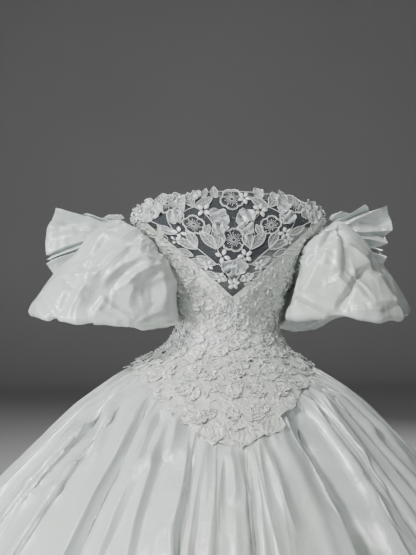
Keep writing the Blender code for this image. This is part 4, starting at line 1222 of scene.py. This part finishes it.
def add_neck_leaves(fills, cords):
    """Leaves that follow the neckline's V on the lace, close to its edge."""
    chance = np.random.default_rng(33)
    for side in (1, -1):
        azimuth = 2.5
        while azimuth < NECK_LEAVES_END:
            swing, size, slide, turn = chance.random(4)
            top = float(neck_v(np.array(azimuth)))
            spot = Spot(azimuth * side, top - 0.013 - 0.008 * slide, 0, LACE_LIFT, lace_relief)
            climb = float(neck_v(np.array(azimuth + 1.0))) - top
            heading = math.degrees(math.atan2(1 / spot.per_m[0], climb)) + 36 * (swing - 0.35)
            length = blend(0.026, 0.042, size)
            look = NECK_LEAF._replace(tilt=0.0012 * (turn - 0.5))
            add_petal(fills, cords, spot.turn_to(heading * side), length, length * 0.46, look, 9 * turn)
            azimuth += NECK_LEAF_PITCH * (0.7 + 0.6 * size) * spot.per_m[0] * 0.8


def add_lace_flower(fills, cords, beads, azimuth, height, draw):
    """A flower, a blossom or a pair of loose petals, by what was drawn for it."""
    swing, size, kind = draw
    spot = Spot(azimuth, height, 0, LACE_LIFT + 0.0006 + over_petals(azimuth, height), lace_relief)
    if kind < 0.80:
        add_flower(fills, cords, spot, blend(*FLOWER_SIZES, size), 5 if kind < 0.5 else 4, 360 * swing)
    elif kind < 0.90:
        add_blossom(beads, spot, blend(0.013, 0.019, size), 5, 6 * swing)
    else:
        for turn in (0, 75 + 60 * size):
            spot.turn_to(360 * swing + turn)
            add_petal(beads, cords, spot, blend(0.024, 0.032, size), 0.020, LOOSE_PETAL, turn)


def build_lace_motifs(fill, cord, bead):
    """Flowers, leaves and curled cords with corded edges, crowded all over the bodice."""
    fills, cords, beads = Pile(), Pile(), Pile()
    chance = np.random.default_rng(20)
    height = BASQUE_FRONT + 0.006
    row = 0
    while height < SHOULDER_BAND_TOP:
        side = float(smooth(ENVELOPE, "height", "side", np.array(height)))
        count = int(2 * math.pi * (0.80 * side + 0.015) / FLOWER_SPACING)
        curls = round(blend(LOW_CURLS, CURLS, float(ease((height - CURLS_CHANGE_AT) / CURLS_CHANGE_OVER))))
        for i in range(count):
            slide, rise, *draw = chance.random(5)
            azimuth = 360 * (i + 0.5 * (row % 2) + 0.45 * (slide - 0.5)) / count % 360 - 180
            place = height + 0.4 * FLOWER_PITCH * (rise - 0.5)
            if on_lace(azimuth, place, FLOWER_MARGIN, FLOWER_ABOVE_SEAM):
                add_lace_flower(fills, cords, beads, azimuth, place, draw)
            for k in range(LEAVES_PER_FLOWER + curls):
                slide, rise, swing, size = chance.random(4)
                at = azimuth + 360 / count * (slide - 0.3)
                up = place + FLOWER_PITCH * (rise - 0.3)
                if not on_lace(at, up, LEAF_MARGINS[k % 3], LEAF_ABOVE_SEAM[k % 3]):
                    continue
                spot = Spot(at, up, 360 * swing, LACE_LIFT + over_petals(at, up), lace_relief)
                length = blend(*LEAF_SIZES, size)
                if k < LEAVES_PER_FLOWER:
                    add_petal(fills, cords, spot, length, length * 0.42, LACE_LEAF, 9 * size)
                else:
                    bend = 4 * (swing - 0.5) + 2.5 * math.copysign(1, rise - 0.5)
                    add_curl(cords, spot, length * 1.1, bend)
        height += FLOWER_PITCH
        row += 1
    add_neck_leaves(fills, cords)
    dress(fills.mesh("lace_petals", fill), "ivory_lace")
    dress(cords.mesh("lace_cords", cord), "ivory_satin")
    dress(beads.mesh("lace_blossoms", bead), "ivory_satin")


# The petals over the basque seam and on the bodice: where each begins, which way it points in degrees
# clockwise from down as seen from outside, and its size.
Petal = namedtuple("Petal", "name azimuth height heading length width")
PETALS = [
    Petal("basque_1", 3, -0.196, -4, 0.074, 0.058),
    Petal("basque_2", 15, -0.180, -20, 0.072, 0.056),
    Petal("basque_3", 27, -0.146, -28, 0.068, 0.054),
    Petal("basque_4", 41, -0.114, -26, 0.064, 0.050),
    Petal("basque_5", 58, -0.092, -18, 0.058, 0.046),
    Petal("basque_6", 77, -0.082, -8, 0.054, 0.046),
    Petal("basque_7", -9, -0.192, 12, 0.072, 0.056),
    Petal("basque_8", -21, -0.164, 26, 0.070, 0.054),
    Petal("basque_9", -34, -0.128, 30, 0.066, 0.052),
    Petal("basque_10", -49, -0.102, 24, 0.060, 0.048),
    Petal("basque_11", -67, -0.086, 14, 0.056, 0.046),
    Petal("basque_12", -88, -0.082, 6, 0.054, 0.046),
    Petal("basque_13", 100, -0.084, 6, 0.054, 0.046),
    Petal("basque_14", -114, -0.084, -6, 0.054, 0.046),
    Petal("basque_15", 127, -0.088, 14, 0.058, 0.048),
    Petal("basque_16", -141, -0.092, -14, 0.058, 0.048),
    Petal("basque_17", 155, -0.100, 12, 0.062, 0.050),
    Petal("basque_18", -167, -0.104, -8, 0.062, 0.050),
    Petal("bust_1", 2, 0.052, -10, 0.046, 0.022),
    Petal("bust_2", -30, 0.066, 40, 0.044, 0.030),
    Petal("waist_1", -34, -0.040, 20, 0.052, 0.036),
    Petal("waist_2", 12, -0.072, -30, 0.050, 0.040),
]
PETAL_BASE_LIFT = 3.5 * MM
PETAL_DRAPE = 0.45


def over_pleats(azimuth, height):
    """How far a petal sinks between the pleats it lies on."""
    inward = on_envelope(azimuth, height) - skirt_point(azimuth, height)
    return -PETAL_DRAPE * (inward * normal_of(on_envelope, azimuth, height)).sum(-1)


def build_petals(finish, bright, cord):
    """The large loose petals, each with ruffled sides and a corded edge."""
    cords = Pile()
    for i, petal in enumerate(PETALS):
        fill = Pile()
        spot = Spot(petal.azimuth, petal.height, 180 - petal.heading, PETAL_BASE_LIFT, over_pleats)
        form = Form(1.2 + 0.5 * math.sin(2.9 * i) ** 2, 0.50 + 0.14 * math.cos(1.9 * i) ** 2, 0.10)
        look = BASQUE_PETAL._replace(form=form, tilt=0.0022 * math.sin(1.7 * i))
        add_petal(fill, cords, spot, petal.length, petal.width, look, 2.4 * i)
        made = fill.mesh(f"satin_petal_{petal.name}", finish if "basque" in petal.name else bright)
        dress(made, "ivory_satin", f"petal_{petal.name}")
    dress(cords.mesh("satin_petal_edges", cord), "ivory_satin")


BUTTON_COUNT = 8
BUTTON_RADIUS = 5.5 * MM
BUTTON_LOWEST = -0.085
BUTTON_PITCH = 0.022
BUTTON_SET_OFF = 9.0 * MM
BUTTON_LIFT = 2.6 * MM
LOOP_CORD = 0.8 * MM


def build_buttons(finish, cord):
    """Covered buttons down the centre back, with a loop of cord over each, and a cord along the opening."""
    loops = Pile()
    theta = np.arange(20) * math.pi / 10
    reach = np.linspace(0, math.pi, 13)
    for i in range(BUTTON_COUNT):
        height = BUTTON_LOWEST + i * BUTTON_PITCH
        side = float(smooth(ENVELOPE, "height", "side", np.array(height)))
        spot = Spot(180 - math.degrees(BUTTON_SET_OFF / side), height, 0, BUTTON_LIFT)
        dome, rings = Pile(), []
        for t in np.linspace(0, 1, 9):
            r = BUTTON_RADIUS * math.sin(0.02 + 1.62 * t) * (1 + 0.012 * np.cos(7 * theta) * t**2)
            lift = BUTTON_RADIUS * 0.72 * math.cos(1.62 * t)
            rings.append(spot.at(r * np.cos(theta), r * np.sin(theta), lift))
        dome.add(np.array(rings), around=True)
        dress(dome.mesh(f"covered_button_{i + 1}", finish), "ivory_satin", f"button_{i + 1}")
        root = BUTTON_SET_OFF + 3 * MM
        across = root - (root + BUTTON_RADIUS * 0.9) * np.sin(reach)
        along = (BUTTON_RADIUS + 0.7 * MM) * np.cos(reach)
        sew_cord(loops, spot, across, along, 2 * LOOP_CORD, LOOP_CORD, 5)
    edge = np.linspace(BUTTON_LOWEST - 0.03, NECK_V_BACK - 0.002, 90)
    for off in (-1.2, 1.2):
        loops.add(cord_through(lifted(180 + off + 0 * edge, edge, 3.0 * MM), 1.0 * MM), around=True)
    dress(loops.mesh("button_loops", cord), "ivory_satin")


# ------------------------------------------------------------------ yoke

# The sheer yoke's embroidery over the wearer's left half, in this gown's own layout: what each motif is,
# where it begins, which way it points in degrees from up towards the side, and its size. The right half has
# it in reverse.
Motif = namedtuple("Motif", "kind azimuth height heading length width")
YOKE_MOTIFS = [
    Motif("stamens", 0.0, 0.196, 0, 0.030, 0),
    Motif("petal", 3.0, 0.234, 48, 0.056, 0.040),
    Motif("petal", 3.0, 0.230, 118, 0.046, 0.034),
    Motif("stamens", 0.0, 0.294, 20, 0.028, 0),
    Motif("leaf", 12.0, 0.176, -14, 0.052, 0.024),
    Motif("leaf", 12.5, 0.175, 32, 0.054, 0.024),
    Motif("blossom", 8.5, 0.158, 30, 0.018, 0),
    Motif("leaf", 15.0, 0.140, 66, 0.046, 0.021),
    Motif("blossom", 17.0, 0.268, 30, 0.019, 0),
    Motif("stamens", 24.0, 0.232, 20, 0.026, 0),
    Motif("leaf", 23.0, 0.276, -58, 0.048, 0.023),
    Motif("leaf", 23.5, 0.276, 36, 0.046, 0.023),
    Motif("petal", 30.0, 0.262, 118, 0.046, 0.036),
    Motif("petal", 31.0, 0.264, 28, 0.050, 0.037),
    Motif("leaf", 27.0, 0.176, 62, 0.050, 0.022),
    Motif("leaf", 27.0, 0.178, 12, 0.048, 0.022),
    Motif("blossom", 36.0, 0.214, 10, 0.018, 0),
    Motif("leaf", 39.0, 0.212, 58, 0.046, 0.021),
    Motif("stamens", 43.0, 0.284, 0, 0.025, 0),
    Motif("petal", 0.0, 0.118, 24, 0.042, 0.036),
    Motif("petal", 0.0, 0.116, -38, 0.040, 0.034),
    Motif("leaf", 6.0, 0.104, 62, 0.034, 0.017),
    Motif("blossom", 0.5, 0.096, 40, 0.014, 0),
    Motif("petal", 53.0, 0.250, -12, 0.042, 0.034),
    Motif("petal", 54.0, 0.248, 62, 0.044, 0.034),
    Motif("stamens", 63.0, 0.268, 0, 0.022, 0),
    Motif("petal", 68.0, 0.244, 50, 0.042, 0.033),
    Motif("blossom", 73.0, 0.256, 0, 0.017, 0),
    Motif("leaf", 77.0, 0.246, 14, 0.034, 0.019),
    Motif("petal", 82.0, 0.242, 30, 0.038, 0.030),
    Motif("blossom", 11.5, 0.110, 50, 0.013, 0),
    Motif("leaf", 13.0, 0.108, 58, 0.034, 0.016),
    Motif("blossom", 21.5, 0.138, 20, 0.014, 0),
    Motif("leaf", 23.0, 0.134, 60, 0.038, 0.017),
    Motif("leaf", 32.0, 0.160, 62, 0.038, 0.017),
    Motif("blossom", 41.5, 0.196, 60, 0.014, 0),
    Motif("leaf", 19.0, 0.206, -30, 0.034, 0.016),
    Motif("leaf", 33.0, 0.236, -20, 0.030, 0.015),
]
# The stems of the left half, through places given by azimuth and height.
YOKE_STEMS = [
    [(1.0, 0.100), (6.0, 0.118), (12.0, 0.140), (15.0, 0.142), (27.0, 0.178), (39.0, 0.212), (52.0, 0.238)],
    [(6.0, 0.118), (9.0, 0.145), (12.0, 0.176), (14.0, 0.205), (12.0, 0.235), (17.0, 0.262), (23.0, 0.276)],
    [(27.0, 0.178), (26.0, 0.200), (25.0, 0.212)],
    [(39.0, 0.212), (41.0, 0.240), (42.0, 0.262)],
    [(30.5, 0.262), (27.0, 0.270), (23.0, 0.276)],
    [(52.0, 0.238), (60.0, 0.246), (68.0, 0.244), (80.0, 0.246)],
]


def behind(azimuth, height):
    """Where a place of the front yoke's embroidery lies on the back yoke."""
    low, high = neck_v(np.array(azimuth)), yoke_top(np.array(azimuth))
    share = (height - low) / (high - low)
    around = 180 - azimuth
    return around, float(blend(neck_v(np.array(around)), yoke_top(np.array(around)), share))


# The net's parts: where each starts and ends, and its flat width and area.
NET_PARTS = {
    "front": (-90.0, 90.0, 0.50, 0.072),
    "back_left": (90.0, 180.0, 0.26, 0.029),
    "back_right": (-180.0, -90.0, 0.26, 0.029),
}
NET_ROWS = 41
NET_SEAM = 4.0 * MM
NET_INSET = 0.2 * MM


def build_net(finish):
    for name, (start, end, width, area) in NET_PARTS.items():
        columns = int(end - start) + 1
        azimuth = np.broadcast_to(np.linspace(start, end, columns), (NET_ROWS, columns))
        share = np.linspace(0, 1, NET_ROWS)[:, None]
        height = blend(neck_v(azimuth) - NET_SEAM, yoke_top(azimuth) - NET_SEAM, share)
        net = add_mesh(f"net_{name}", lifted(azimuth, height, -NET_INSET), grid_faces(*azimuth.shape), finish)
        dress(net, "illusion_net", f"yoke_{name}")


def add_motif(motif, place, side, leaves, petals, cords, beads):
    """One motif of the yoke, on its front or its back, and on the wearer's left (1) or right (-1)."""
    azimuth, height, heading = motif.azimuth, motif.height, motif.heading
    if place == "back":
        azimuth, height = behind(azimuth, height)
        heading = -heading
    if height < float(neck_v(np.array(azimuth))) - 0.01:
        return
    spot = Spot(azimuth * side, height, heading * side, 1.2 * MM)
    phase = motif.azimuth * 1.7 + side
    if motif.kind == "leaf":
        add_veined_leaf(leaves, cords, spot, motif.length, motif.width, YOKE_LEAF, phase)
    elif motif.kind == "petal":
        add_petal(petals, cords, spot, motif.length, motif.width, YOKE_PETAL, phase)
    elif motif.kind == "stamens":
        add_stamen_flower(cords, beads, spot, motif.length, phase)
    else:
        add_blossom(beads, spot, motif.length, 5 if side > 0 else 4, phase)


def build_yoke(net, leaf, satin, cord, bead):
    """Illusion net with corded leaves, satin petals, sheer flowers and small blossoms."""
    build_net(net)
    for place in ("front", "back"):
        leaves, petals, cords, beads = Pile(), Pile(), Pile(), Pile()
        for motif in YOKE_MOTIFS:
            for side in (1, -1) if motif.azimuth else (1,):
                add_motif(motif, place, side, leaves, petals, cords, beads)
        for stem in YOKE_STEMS:
            for side in (1, -1):
                route = [behind(a, h) if place == "back" else (a, h) for a, h in stem]
                add_stem(cords, [(a * side, h) for a, h in route])
        add_top_edge(place, leaves, petals, cords, beads)
        dress(leaves.mesh(f"yoke_{place}_leaves", leaf), "ivory_lace")
        dress(petals.mesh(f"yoke_{place}_petals", satin), "ivory_satin")
        dress(cords.mesh(f"yoke_{place}_cords", cord), "ivory_satin")
        dress(beads.mesh(f"yoke_{place}_beads", bead), "ivory_satin")


TOP_EDGE_PITCH = 9.0


def add_top_edge(place, leaves, petals, cords, beads):
    """Petals, leaves and blossoms that stand along the neckline and break up its edge."""
    chance = np.random.default_rng(7 if place == "front" else 8)
    middle = 0.0 if place == "front" else 180.0
    for i in range(-12, 13):
        swing, size, kind = chance.random(3)
        azimuth = middle + i * TOP_EDGE_PITCH + 2.5 * (swing - 0.5)
        if abs(i * TOP_EDGE_PITCH) > 90 or i == 0:
            continue
        height = float(yoke_top(np.array(azimuth))) - 0.020
        spot = Spot(azimuth, height, 70 * (swing - 0.5), 1.5 * MM)
        length = blend(0.024, 0.036, size)
        if kind < 0.45:
            add_veined_leaf(leaves, cords, spot, length, length * 0.55, EDGE_LEAF, 9 * size)
        elif kind < 0.80:
            add_petal(petals, cords, spot, length * 0.9, length * 0.8, EDGE_PETAL, 9 * size)
        else:
            add_blossom(beads, spot, 0.017, 5, 6 * swing)
    edge = np.linspace(middle - 90, middle + 90, 241)
    cords.add(cord_through(lifted(edge, yoke_top(edge) - NET_SEAM, 0.4 * MM), 0.0008), around=True)


# ------------------------------------------------------------------ finishes


def new_group(name, ins, outs):
    """A node group with named sockets: ins are (name, kind, default), outs are (name, kind)."""
    group = bpy.data.node_groups.new(name, "ShaderNodeTree")
    for label, kind, default in ins:
        made = group.interface.new_socket(label, in_out="INPUT", socket_type=f"NodeSocket{kind}")
        if default is not None:
            made.default_value = default
    for label, kind in outs:
        group.interface.new_socket(label, in_out="OUTPUT", socket_type=f"NodeSocket{kind}")
    return group, group.nodes.new("NodeGroupInput"), group.nodes.new("NodeGroupOutput")


def math_node(tree, operation, *values):
    made = tree.nodes.new("ShaderNodeMath")
    made.operation = operation
    for socket, value in zip(made.inputs, values):
        if hasattr(value, "is_output"):
            tree.links.new(value, socket)
        else:
            socket.default_value = value
    return made.outputs[0]


def map_range(tree, value, **ends):
    """Spreads a value from one range over another. ends are From_Min, From_Max, To_Min and To_Max."""
    made = tree.nodes.new("ShaderNodeMapRange")
    for label, end in ends.items():
        made.inputs[label.replace("_", " ")].default_value = end
    tree.links.new(value, made.inputs["Value"])
    return made.outputs["Result"]


def mix_color(tree, factor, first, second):
    made = tree.nodes.new("ShaderNodeMix")
    made.data_type = "RGBA"
    for label, value in (("Factor", factor), ("A", first), ("B", second)):
        tree.links.new(value, made.inputs[label])
    return made.outputs["Result"]


def make_weave():
    """Fine threads over and under each other. Height runs from 0 to 1."""
    ins = [("Place", "Vector", None), ("Threads per metre", "Float", 1000.0)]
    group, source, sink = new_group("plain_weave", ins, [("Height", "Float")])
    split = group.nodes.new("ShaderNodeSeparateXYZ")
    group.links.new(source.outputs["Place"], split.inputs[0])
    waves = []
    for axis in ("X", "Y"):
        turns = math_node(group, "MULTIPLY", split.outputs[axis], source.outputs["Threads per metre"])
        waves.append(math_node(group, "SINE", math_node(group, "MULTIPLY", turns, 2 * math.pi)))
    over = math_node(group, "MULTIPLY", waves[0], waves[1])
    group.links.new(math_node(group, "MULTIPLY_ADD", over, 0.5, 0.5), sink.inputs["Height"])
    return group


def make_tone():
    """Cloudy colour: a light and a deep tone of one cloth, with a faint tint here and there."""
    ins = [
        ("Place", "Vector", None),
        ("Light tone", "Color", (0.8, 0.8, 0.8, 1)),
        ("Deep tone", "Color", (0.7, 0.7, 0.7, 1)),
        ("Tint", "Color", (0.8, 0.8, 0.7, 1)),
        ("Patches per metre", "Float", 9.0),
    ]
    group, source, sink = new_group("cloudy_tone", ins, [("Color", "Color"), ("Mask", "Float")])
    masks = []
    for factor, detail in ((1.0, 4.0), (0.45, 2.0)):
        cloud = group.nodes.new("ShaderNodeTexNoise")
        cloud.inputs["Detail"].default_value = detail
        scale = math_node(group, "MULTIPLY", source.outputs["Patches per metre"], factor)
        group.links.new(source.outputs["Place"], cloud.inputs["Vector"])
        group.links.new(scale, cloud.inputs["Scale"])
        masks.append(map_range(group, cloud.outputs["Fac"], From_Min=0.35, From_Max=0.68))
    both = mix_color(group, masks[0], source.outputs["Light tone"], source.outputs["Deep tone"])
    faint = math_node(group, "MULTIPLY", masks[1], 0.5)
    group.links.new(mix_color(group, faint, both, source.outputs["Tint"]), sink.inputs["Color"])
    group.links.new(masks[0], sink.inputs["Mask"])
    return group


def make_crinkle():
    """Fine crumples with crisp ridges. Height runs from 0 to about 1."""
    ins = [("Place", "Vector", None), ("Crumples per metre", "Float", 60.0), ("Ridge", "Float", 2.0)]
    group, source, sink = new_group("fine_crinkle", ins, [("Height", "Float")])
    cloud = group.nodes.new("ShaderNodeTexNoise")
    cloud.inputs["Detail"].default_value = 3.0
    group.links.new(source.outputs["Place"], cloud.inputs["Vector"])
    group.links.new(source.outputs["Crumples per metre"], cloud.inputs["Scale"])
    fold = math_node(group, "ABSOLUTE", math_node(group, "MULTIPLY_ADD", cloud.outputs["Fac"], 2.0, -1.0))
    ridge = math_node(group, "MULTIPLY", fold, source.outputs["Ridge"])
    group.links.new(math_node(group, "SUBTRACT", 1.0, ridge), sink.inputs["Height"])
    return group


WEAVE, TONE, CRINKLE = make_weave(), make_tone(), make_crinkle()


def new_finish(name, roughness, sheen=0.0, specular=0.5, coat=0.0, coat_roughness=0.03):
    finish = bpy.data.materials.new(name)
    finish.use_nodes = True
    shader = finish.node_tree.nodes["Principled BSDF"]
    shader.inputs["Roughness"].default_value = roughness
    shader.inputs["Sheen Weight"].default_value = sheen
    shader.inputs["Sheen Roughness"].default_value = 0.45
    shader.inputs["Specular IOR Level"].default_value = specular
    shader.inputs["Coat Weight"].default_value = coat
    shader.inputs["Coat Roughness"].default_value = coat_roughness
    return finish, finish.node_tree, shader


def place_of(tree, uv=None):
    if uv:
        node = tree.nodes.new("ShaderNodeUVMap")
        node.uv_map = uv
        return node.outputs["UV"]
    return tree.nodes.new("ShaderNodeTexCoord").outputs["Object"]


def use_group(tree, group, **values):
    made = tree.nodes.new("ShaderNodeGroup")
    made.node_tree = group
    for label, value in values.items():
        socket = made.inputs[label.replace("_", " ")]
        if hasattr(value, "is_output"):
            tree.links.new(value, socket)
        else:
            socket.default_value = value
    return made


def crinkle(tree, per_metre, ridge):
    """The height of fine crumples over a piece."""
    made = use_group(tree, CRINKLE, Place=place_of(tree), Crumples_per_metre=per_metre, Ridge=ridge)
    return made.outputs["Height"]


def weave(tree, per_metre, uv=None):
    """The height of a plain weave's threads."""
    return use_group(tree, WEAVE, Place=place_of(tree, uv), Threads_per_metre=per_metre).outputs["Height"]


def add_bump(tree, shader, heights, distance, strength=1.0):
    """Bump from several heights, each (socket, share)."""
    total = None
    for socket, share in heights:
        part = math_node(tree, "MULTIPLY", socket, share)
        total = part if total is None else math_node(tree, "ADD", total, part)
    bump = tree.nodes.new("ShaderNodeBump")
    bump.inputs["Distance"].default_value = distance
    bump.inputs["Strength"].default_value = strength
    tree.links.new(total, bump.inputs["Height"])
    tree.links.new(bump.outputs["Normal"], shader.inputs["Normal"])


def tone(tree, shader, light, deep, tint, patches):
    """Colours a finish, and gives the mask of its deeper patches."""
    colours = {"Light_tone": (*light, 1), "Deep_tone": (*deep, 1), "Tint": (*tint, 1)}
    made = use_group(tree, TONE, Place=place_of(tree), Patches_per_metre=patches, **colours)
    tree.links.new(made.outputs["Color"], shader.inputs["Base Color"])
    return made.outputs["Mask"]


def vary_roughness(tree, shader, mask, low, high):
    tree.links.new(map_range(tree, mask, To_Min=low, To_Max=high), shader.inputs["Roughness"])


def make_taffeta():
    """Crisp silk with a soft sheen, crinkled a little all over."""
    finish, tree, shader = new_finish("ivory_taffeta", 0.28, specular=1.0, coat=0.35, coat_roughness=0.19)
    mask = tone(tree, shader, (0.60, 0.65, 0.64), (0.54, 0.59, 0.575), (0.57, 0.61, 0.53), 7.0)
    vary_roughness(tree, shader, mask, 0.25, 0.35)
    heights = [(weave(tree, 900.0, "weave"), 0.03), (crinkle(tree, 20.0, 1.6), 0.5)]
    add_bump(tree, shader, heights, 0.0022, 0.8)
    return finish


def make_lace():
    """The stitched, crumpled cloth that the bodice's flowers are sewn on."""
    finish, tree, shader = new_finish("ivory_lace", 0.45, sheen=0.1, specular=0.8)
    mask = tone(tree, shader, (0.70, 0.73, 0.695), (0.60, 0.63, 0.59), (0.63, 0.65, 0.56), 16.0)
    vary_roughness(tree, shader, mask, 0.26, 0.42)
    add_bump(tree, shader, [(crinkle(tree, 260.0, 2.0), 0.12), (crinkle(tree, 70.0, 2.6), 1.0)], 0.0013)
    return finish


def make_petal_satin():
    """The smoother, brighter cloth of the lace's petals and leaves, in soft folds."""
    finish, tree, shader = new_finish("lace_satin", 0.27, specular=1.0, coat=0.4, coat_roughness=0.2)
    mask = tone(tree, shader, (0.72, 0.75, 0.72), (0.60, 0.63, 0.59), (0.62, 0.65, 0.54), 24.0)
    vary_roughness(tree, shader, mask, 0.20, 0.34)
    add_bump(tree, shader, [(crinkle(tree, 300.0, 2.0), 0.10), (crinkle(tree, 80.0, 2.4), 1.0)], 0.0014)
    return finish


def make_stitched_painted_grey():
    """Leaves filled with rows of fine stitches, half sheer. Their pale stitches are painted grey, as painted
    shade for the dark seen through them.
    """
    finish, tree, shader = new_finish("stitched_leaf_painted_grey", 0.5, sheen=0.2)
    # Painted shade: these grey tones stand for the darkness that shows through the pale, sheer stitches.
    tone(tree, shader, (0.33, 0.36, 0.36), (0.22, 0.25, 0.255), (0.28, 0.31, 0.30), 80.0)
    threads = crinkle(tree, 420.0, 2.4)
    tree.links.new(map_range(tree, threads, To_Min=0.40, To_Max=0.85), shader.inputs["Alpha"])
    add_bump(tree, shader, [(threads, 1.0)], 0.0005)
    return finish


def make_satin(name, light, deep, roughness):
    """A lustrous cloth or cord, in fine folds."""
    finish, tree, shader = new_finish(name, roughness, specular=1.0, coat=0.4)
    mask = tone(tree, shader, light, deep, deep, 30.0)
    vary_roughness(tree, shader, mask, roughness, roughness + 0.08)
    add_bump(tree, shader, [(weave(tree, 1400.0), 0.05), (crinkle(tree, 90.0, 1.6), 1.0)], 0.0010, 0.8)
    return finish


NET_CELLS_PER_METRE = 620.0


def make_net_painted_dark():
    """Illusion net: a fine honeycomb of thread, open between. Its thread is painted near black, as painted
    shade for the dark seen through the yoke.
    """
    finish, tree, shader = new_finish("illusion_net", 0.7, specular=0.2)
    # Painted shade: the net's ivory thread is coloured near black to stand for the darkness that shows
    # through it.
    tone(tree, shader, (0.056, 0.063, 0.070), (0.042, 0.047, 0.053), (0.050, 0.057, 0.064), 20.0)
    cells = tree.nodes.new("ShaderNodeTexVoronoi")
    cells.feature = "DISTANCE_TO_EDGE"
    cells.inputs["Scale"].default_value = NET_CELLS_PER_METRE
    tree.links.new(place_of(tree), cells.inputs["Vector"])
    thread = map_range(tree, cells.outputs["Distance"], From_Max=0.12, To_Min=0.95, To_Max=0.55)
    tree.links.new(thread, shader.inputs["Alpha"])
    return finish


# ------------------------------------------------------------------ the gown


taffeta = make_taffeta()
petal_satin = make_petal_satin()
satin = make_satin("silver_satin", (0.54, 0.57, 0.57), (0.33, 0.36, 0.37), 0.20)
# The cords are ivory like the lace but painted lighter than it. This is partly their own colour and partly a
# painted highlight for the light that the raised cords catch.
cord = make_satin("cord_with_painted_highlight", (0.85, 0.87, 0.85), (0.76, 0.79, 0.77), 0.25)
pearl = make_satin("raised_satin", (0.82, 0.83, 0.82), (0.72, 0.73, 0.72), 0.24)
build_skirt(taffeta)
build_puffs(taffeta)
build_fans(taffeta)
build_bodice(make_lace())
build_lace_motifs(petal_satin, cord, pearl)
build_petals(petal_satin, pearl, cord)
build_buttons(pearl, cord)
build_yoke(make_net_painted_dark(), make_stitched_painted_grey(), satin, cord, pearl)


# ------------------------------------------------------------------ camera, floor and light

CAMERA_TURN = -5.0
CAMERA_DISTANCE = 2.2
CAMERA_HEIGHT = 0.11
FRAME_HEIGHT = 555
FOCAL_IN_PIXELS = 898.0
CENTRE_SHIFT = -20.0
SENSOR = 36.0


def add_camera():
    turn = math.radians(CAMERA_TURN)
    camera = bpy.data.objects.new("camera", bpy.data.cameras.new("camera"))
    camera.location = (math.sin(turn) * CAMERA_DISTANCE, -math.cos(turn) * CAMERA_DISTANCE, CAMERA_HEIGHT)
    camera.rotation_euler = (math.pi / 2, 0, turn)
    camera.data.sensor_width = SENSOR
    camera.data.lens = FOCAL_IN_PIXELS / FRAME_HEIGHT * SENSOR
    camera.data.shift_x = CENTRE_SHIFT / FRAME_HEIGHT
    bpy.context.scene.collection.objects.link(camera)
    bpy.context.scene.camera = camera


def add_light(light):
    lamp = bpy.data.lights.new(light.name, "AREA")
    lamp.size = light.size
    lamp.energy = light.watts
    lamp.color = light.color
    made = bpy.data.objects.new(light.name, lamp)
    made.location = light.place
    made.rotation_euler = (Vector(light.target) - Vector(light.place)).to_track_quat("-Z", "Y").to_euler()
    bpy.context.scene.collection.objects.link(made)


def add_floor():
    """A plain floor that curves up into a plain wall behind."""
    bend, near, far = 1.5, -9.0, 7.2
    angles = np.linspace(0, math.pi / 2, 17)
    y = np.concatenate([[near], far + bend * np.sin(angles), [far + bend]])
    z = np.concatenate([[HEM], HEM + bend * (1 - np.cos(angles)), [HEM + 7.0]]) - 0.5 * MM
    x = np.array([-9.0, 9.0])
    points = np.stack(np.broadcast_arrays(x, y[:, None], z[:, None]), -1)
    finish, tree, shader = new_finish("floor", 0.8)
    tone(tree, shader, (0.50, 0.50, 0.50), (0.48, 0.48, 0.48), (0.49, 0.49, 0.49), 0.8)
    add_mesh("floor", points, grid_faces(len(y), 2)[:, ::-1], finish)


def add_world(level):
    world = bpy.data.worlds.new("dim_studio")
    world.use_nodes = True
    world.node_tree.nodes["Background"].inputs["Color"].default_value = (level, level, level * 1.03, 1)
    bpy.context.scene.world = world


# A soft light: its place, where it points, how wide it is, its power and its colour.
Light = namedtuple("Light", "name place target size watts color", defaults=[(1, 1, 1)])
LIGHTS = [
    Light("key", (-2.2, -2.2, 1.95), (0, 0, -0.2), 0.55, 118, (1.0, 0.99, 0.97)),
    Light("strip", (-0.9, -1.7, 2.9), (0, -0.3, -0.3), 0.3, 27),
    Light("side", (-2.7, -1.3, 0.0), (0, 0, -0.4), 0.8, 75, (0.97, 0.98, 1.0)),
    Light("front", (0.5, -2.9, 0.7), (0, 0, -0.1), 1.0, 20, (0.97, 0.98, 1.0)),
    Light("top", (0.2, 1.1, 2.6), (0, 0, 0), 1.2, 30),
    Light("rear", (1.4, 3.4, 1.8), (0, 0.3, -0.4), 1.4, 90),
]
WORLD_LEVEL = 0.042

add_camera()
add_floor()
add_world(WORLD_LEVEL)
for light in LIGHTS:
    add_light(light)
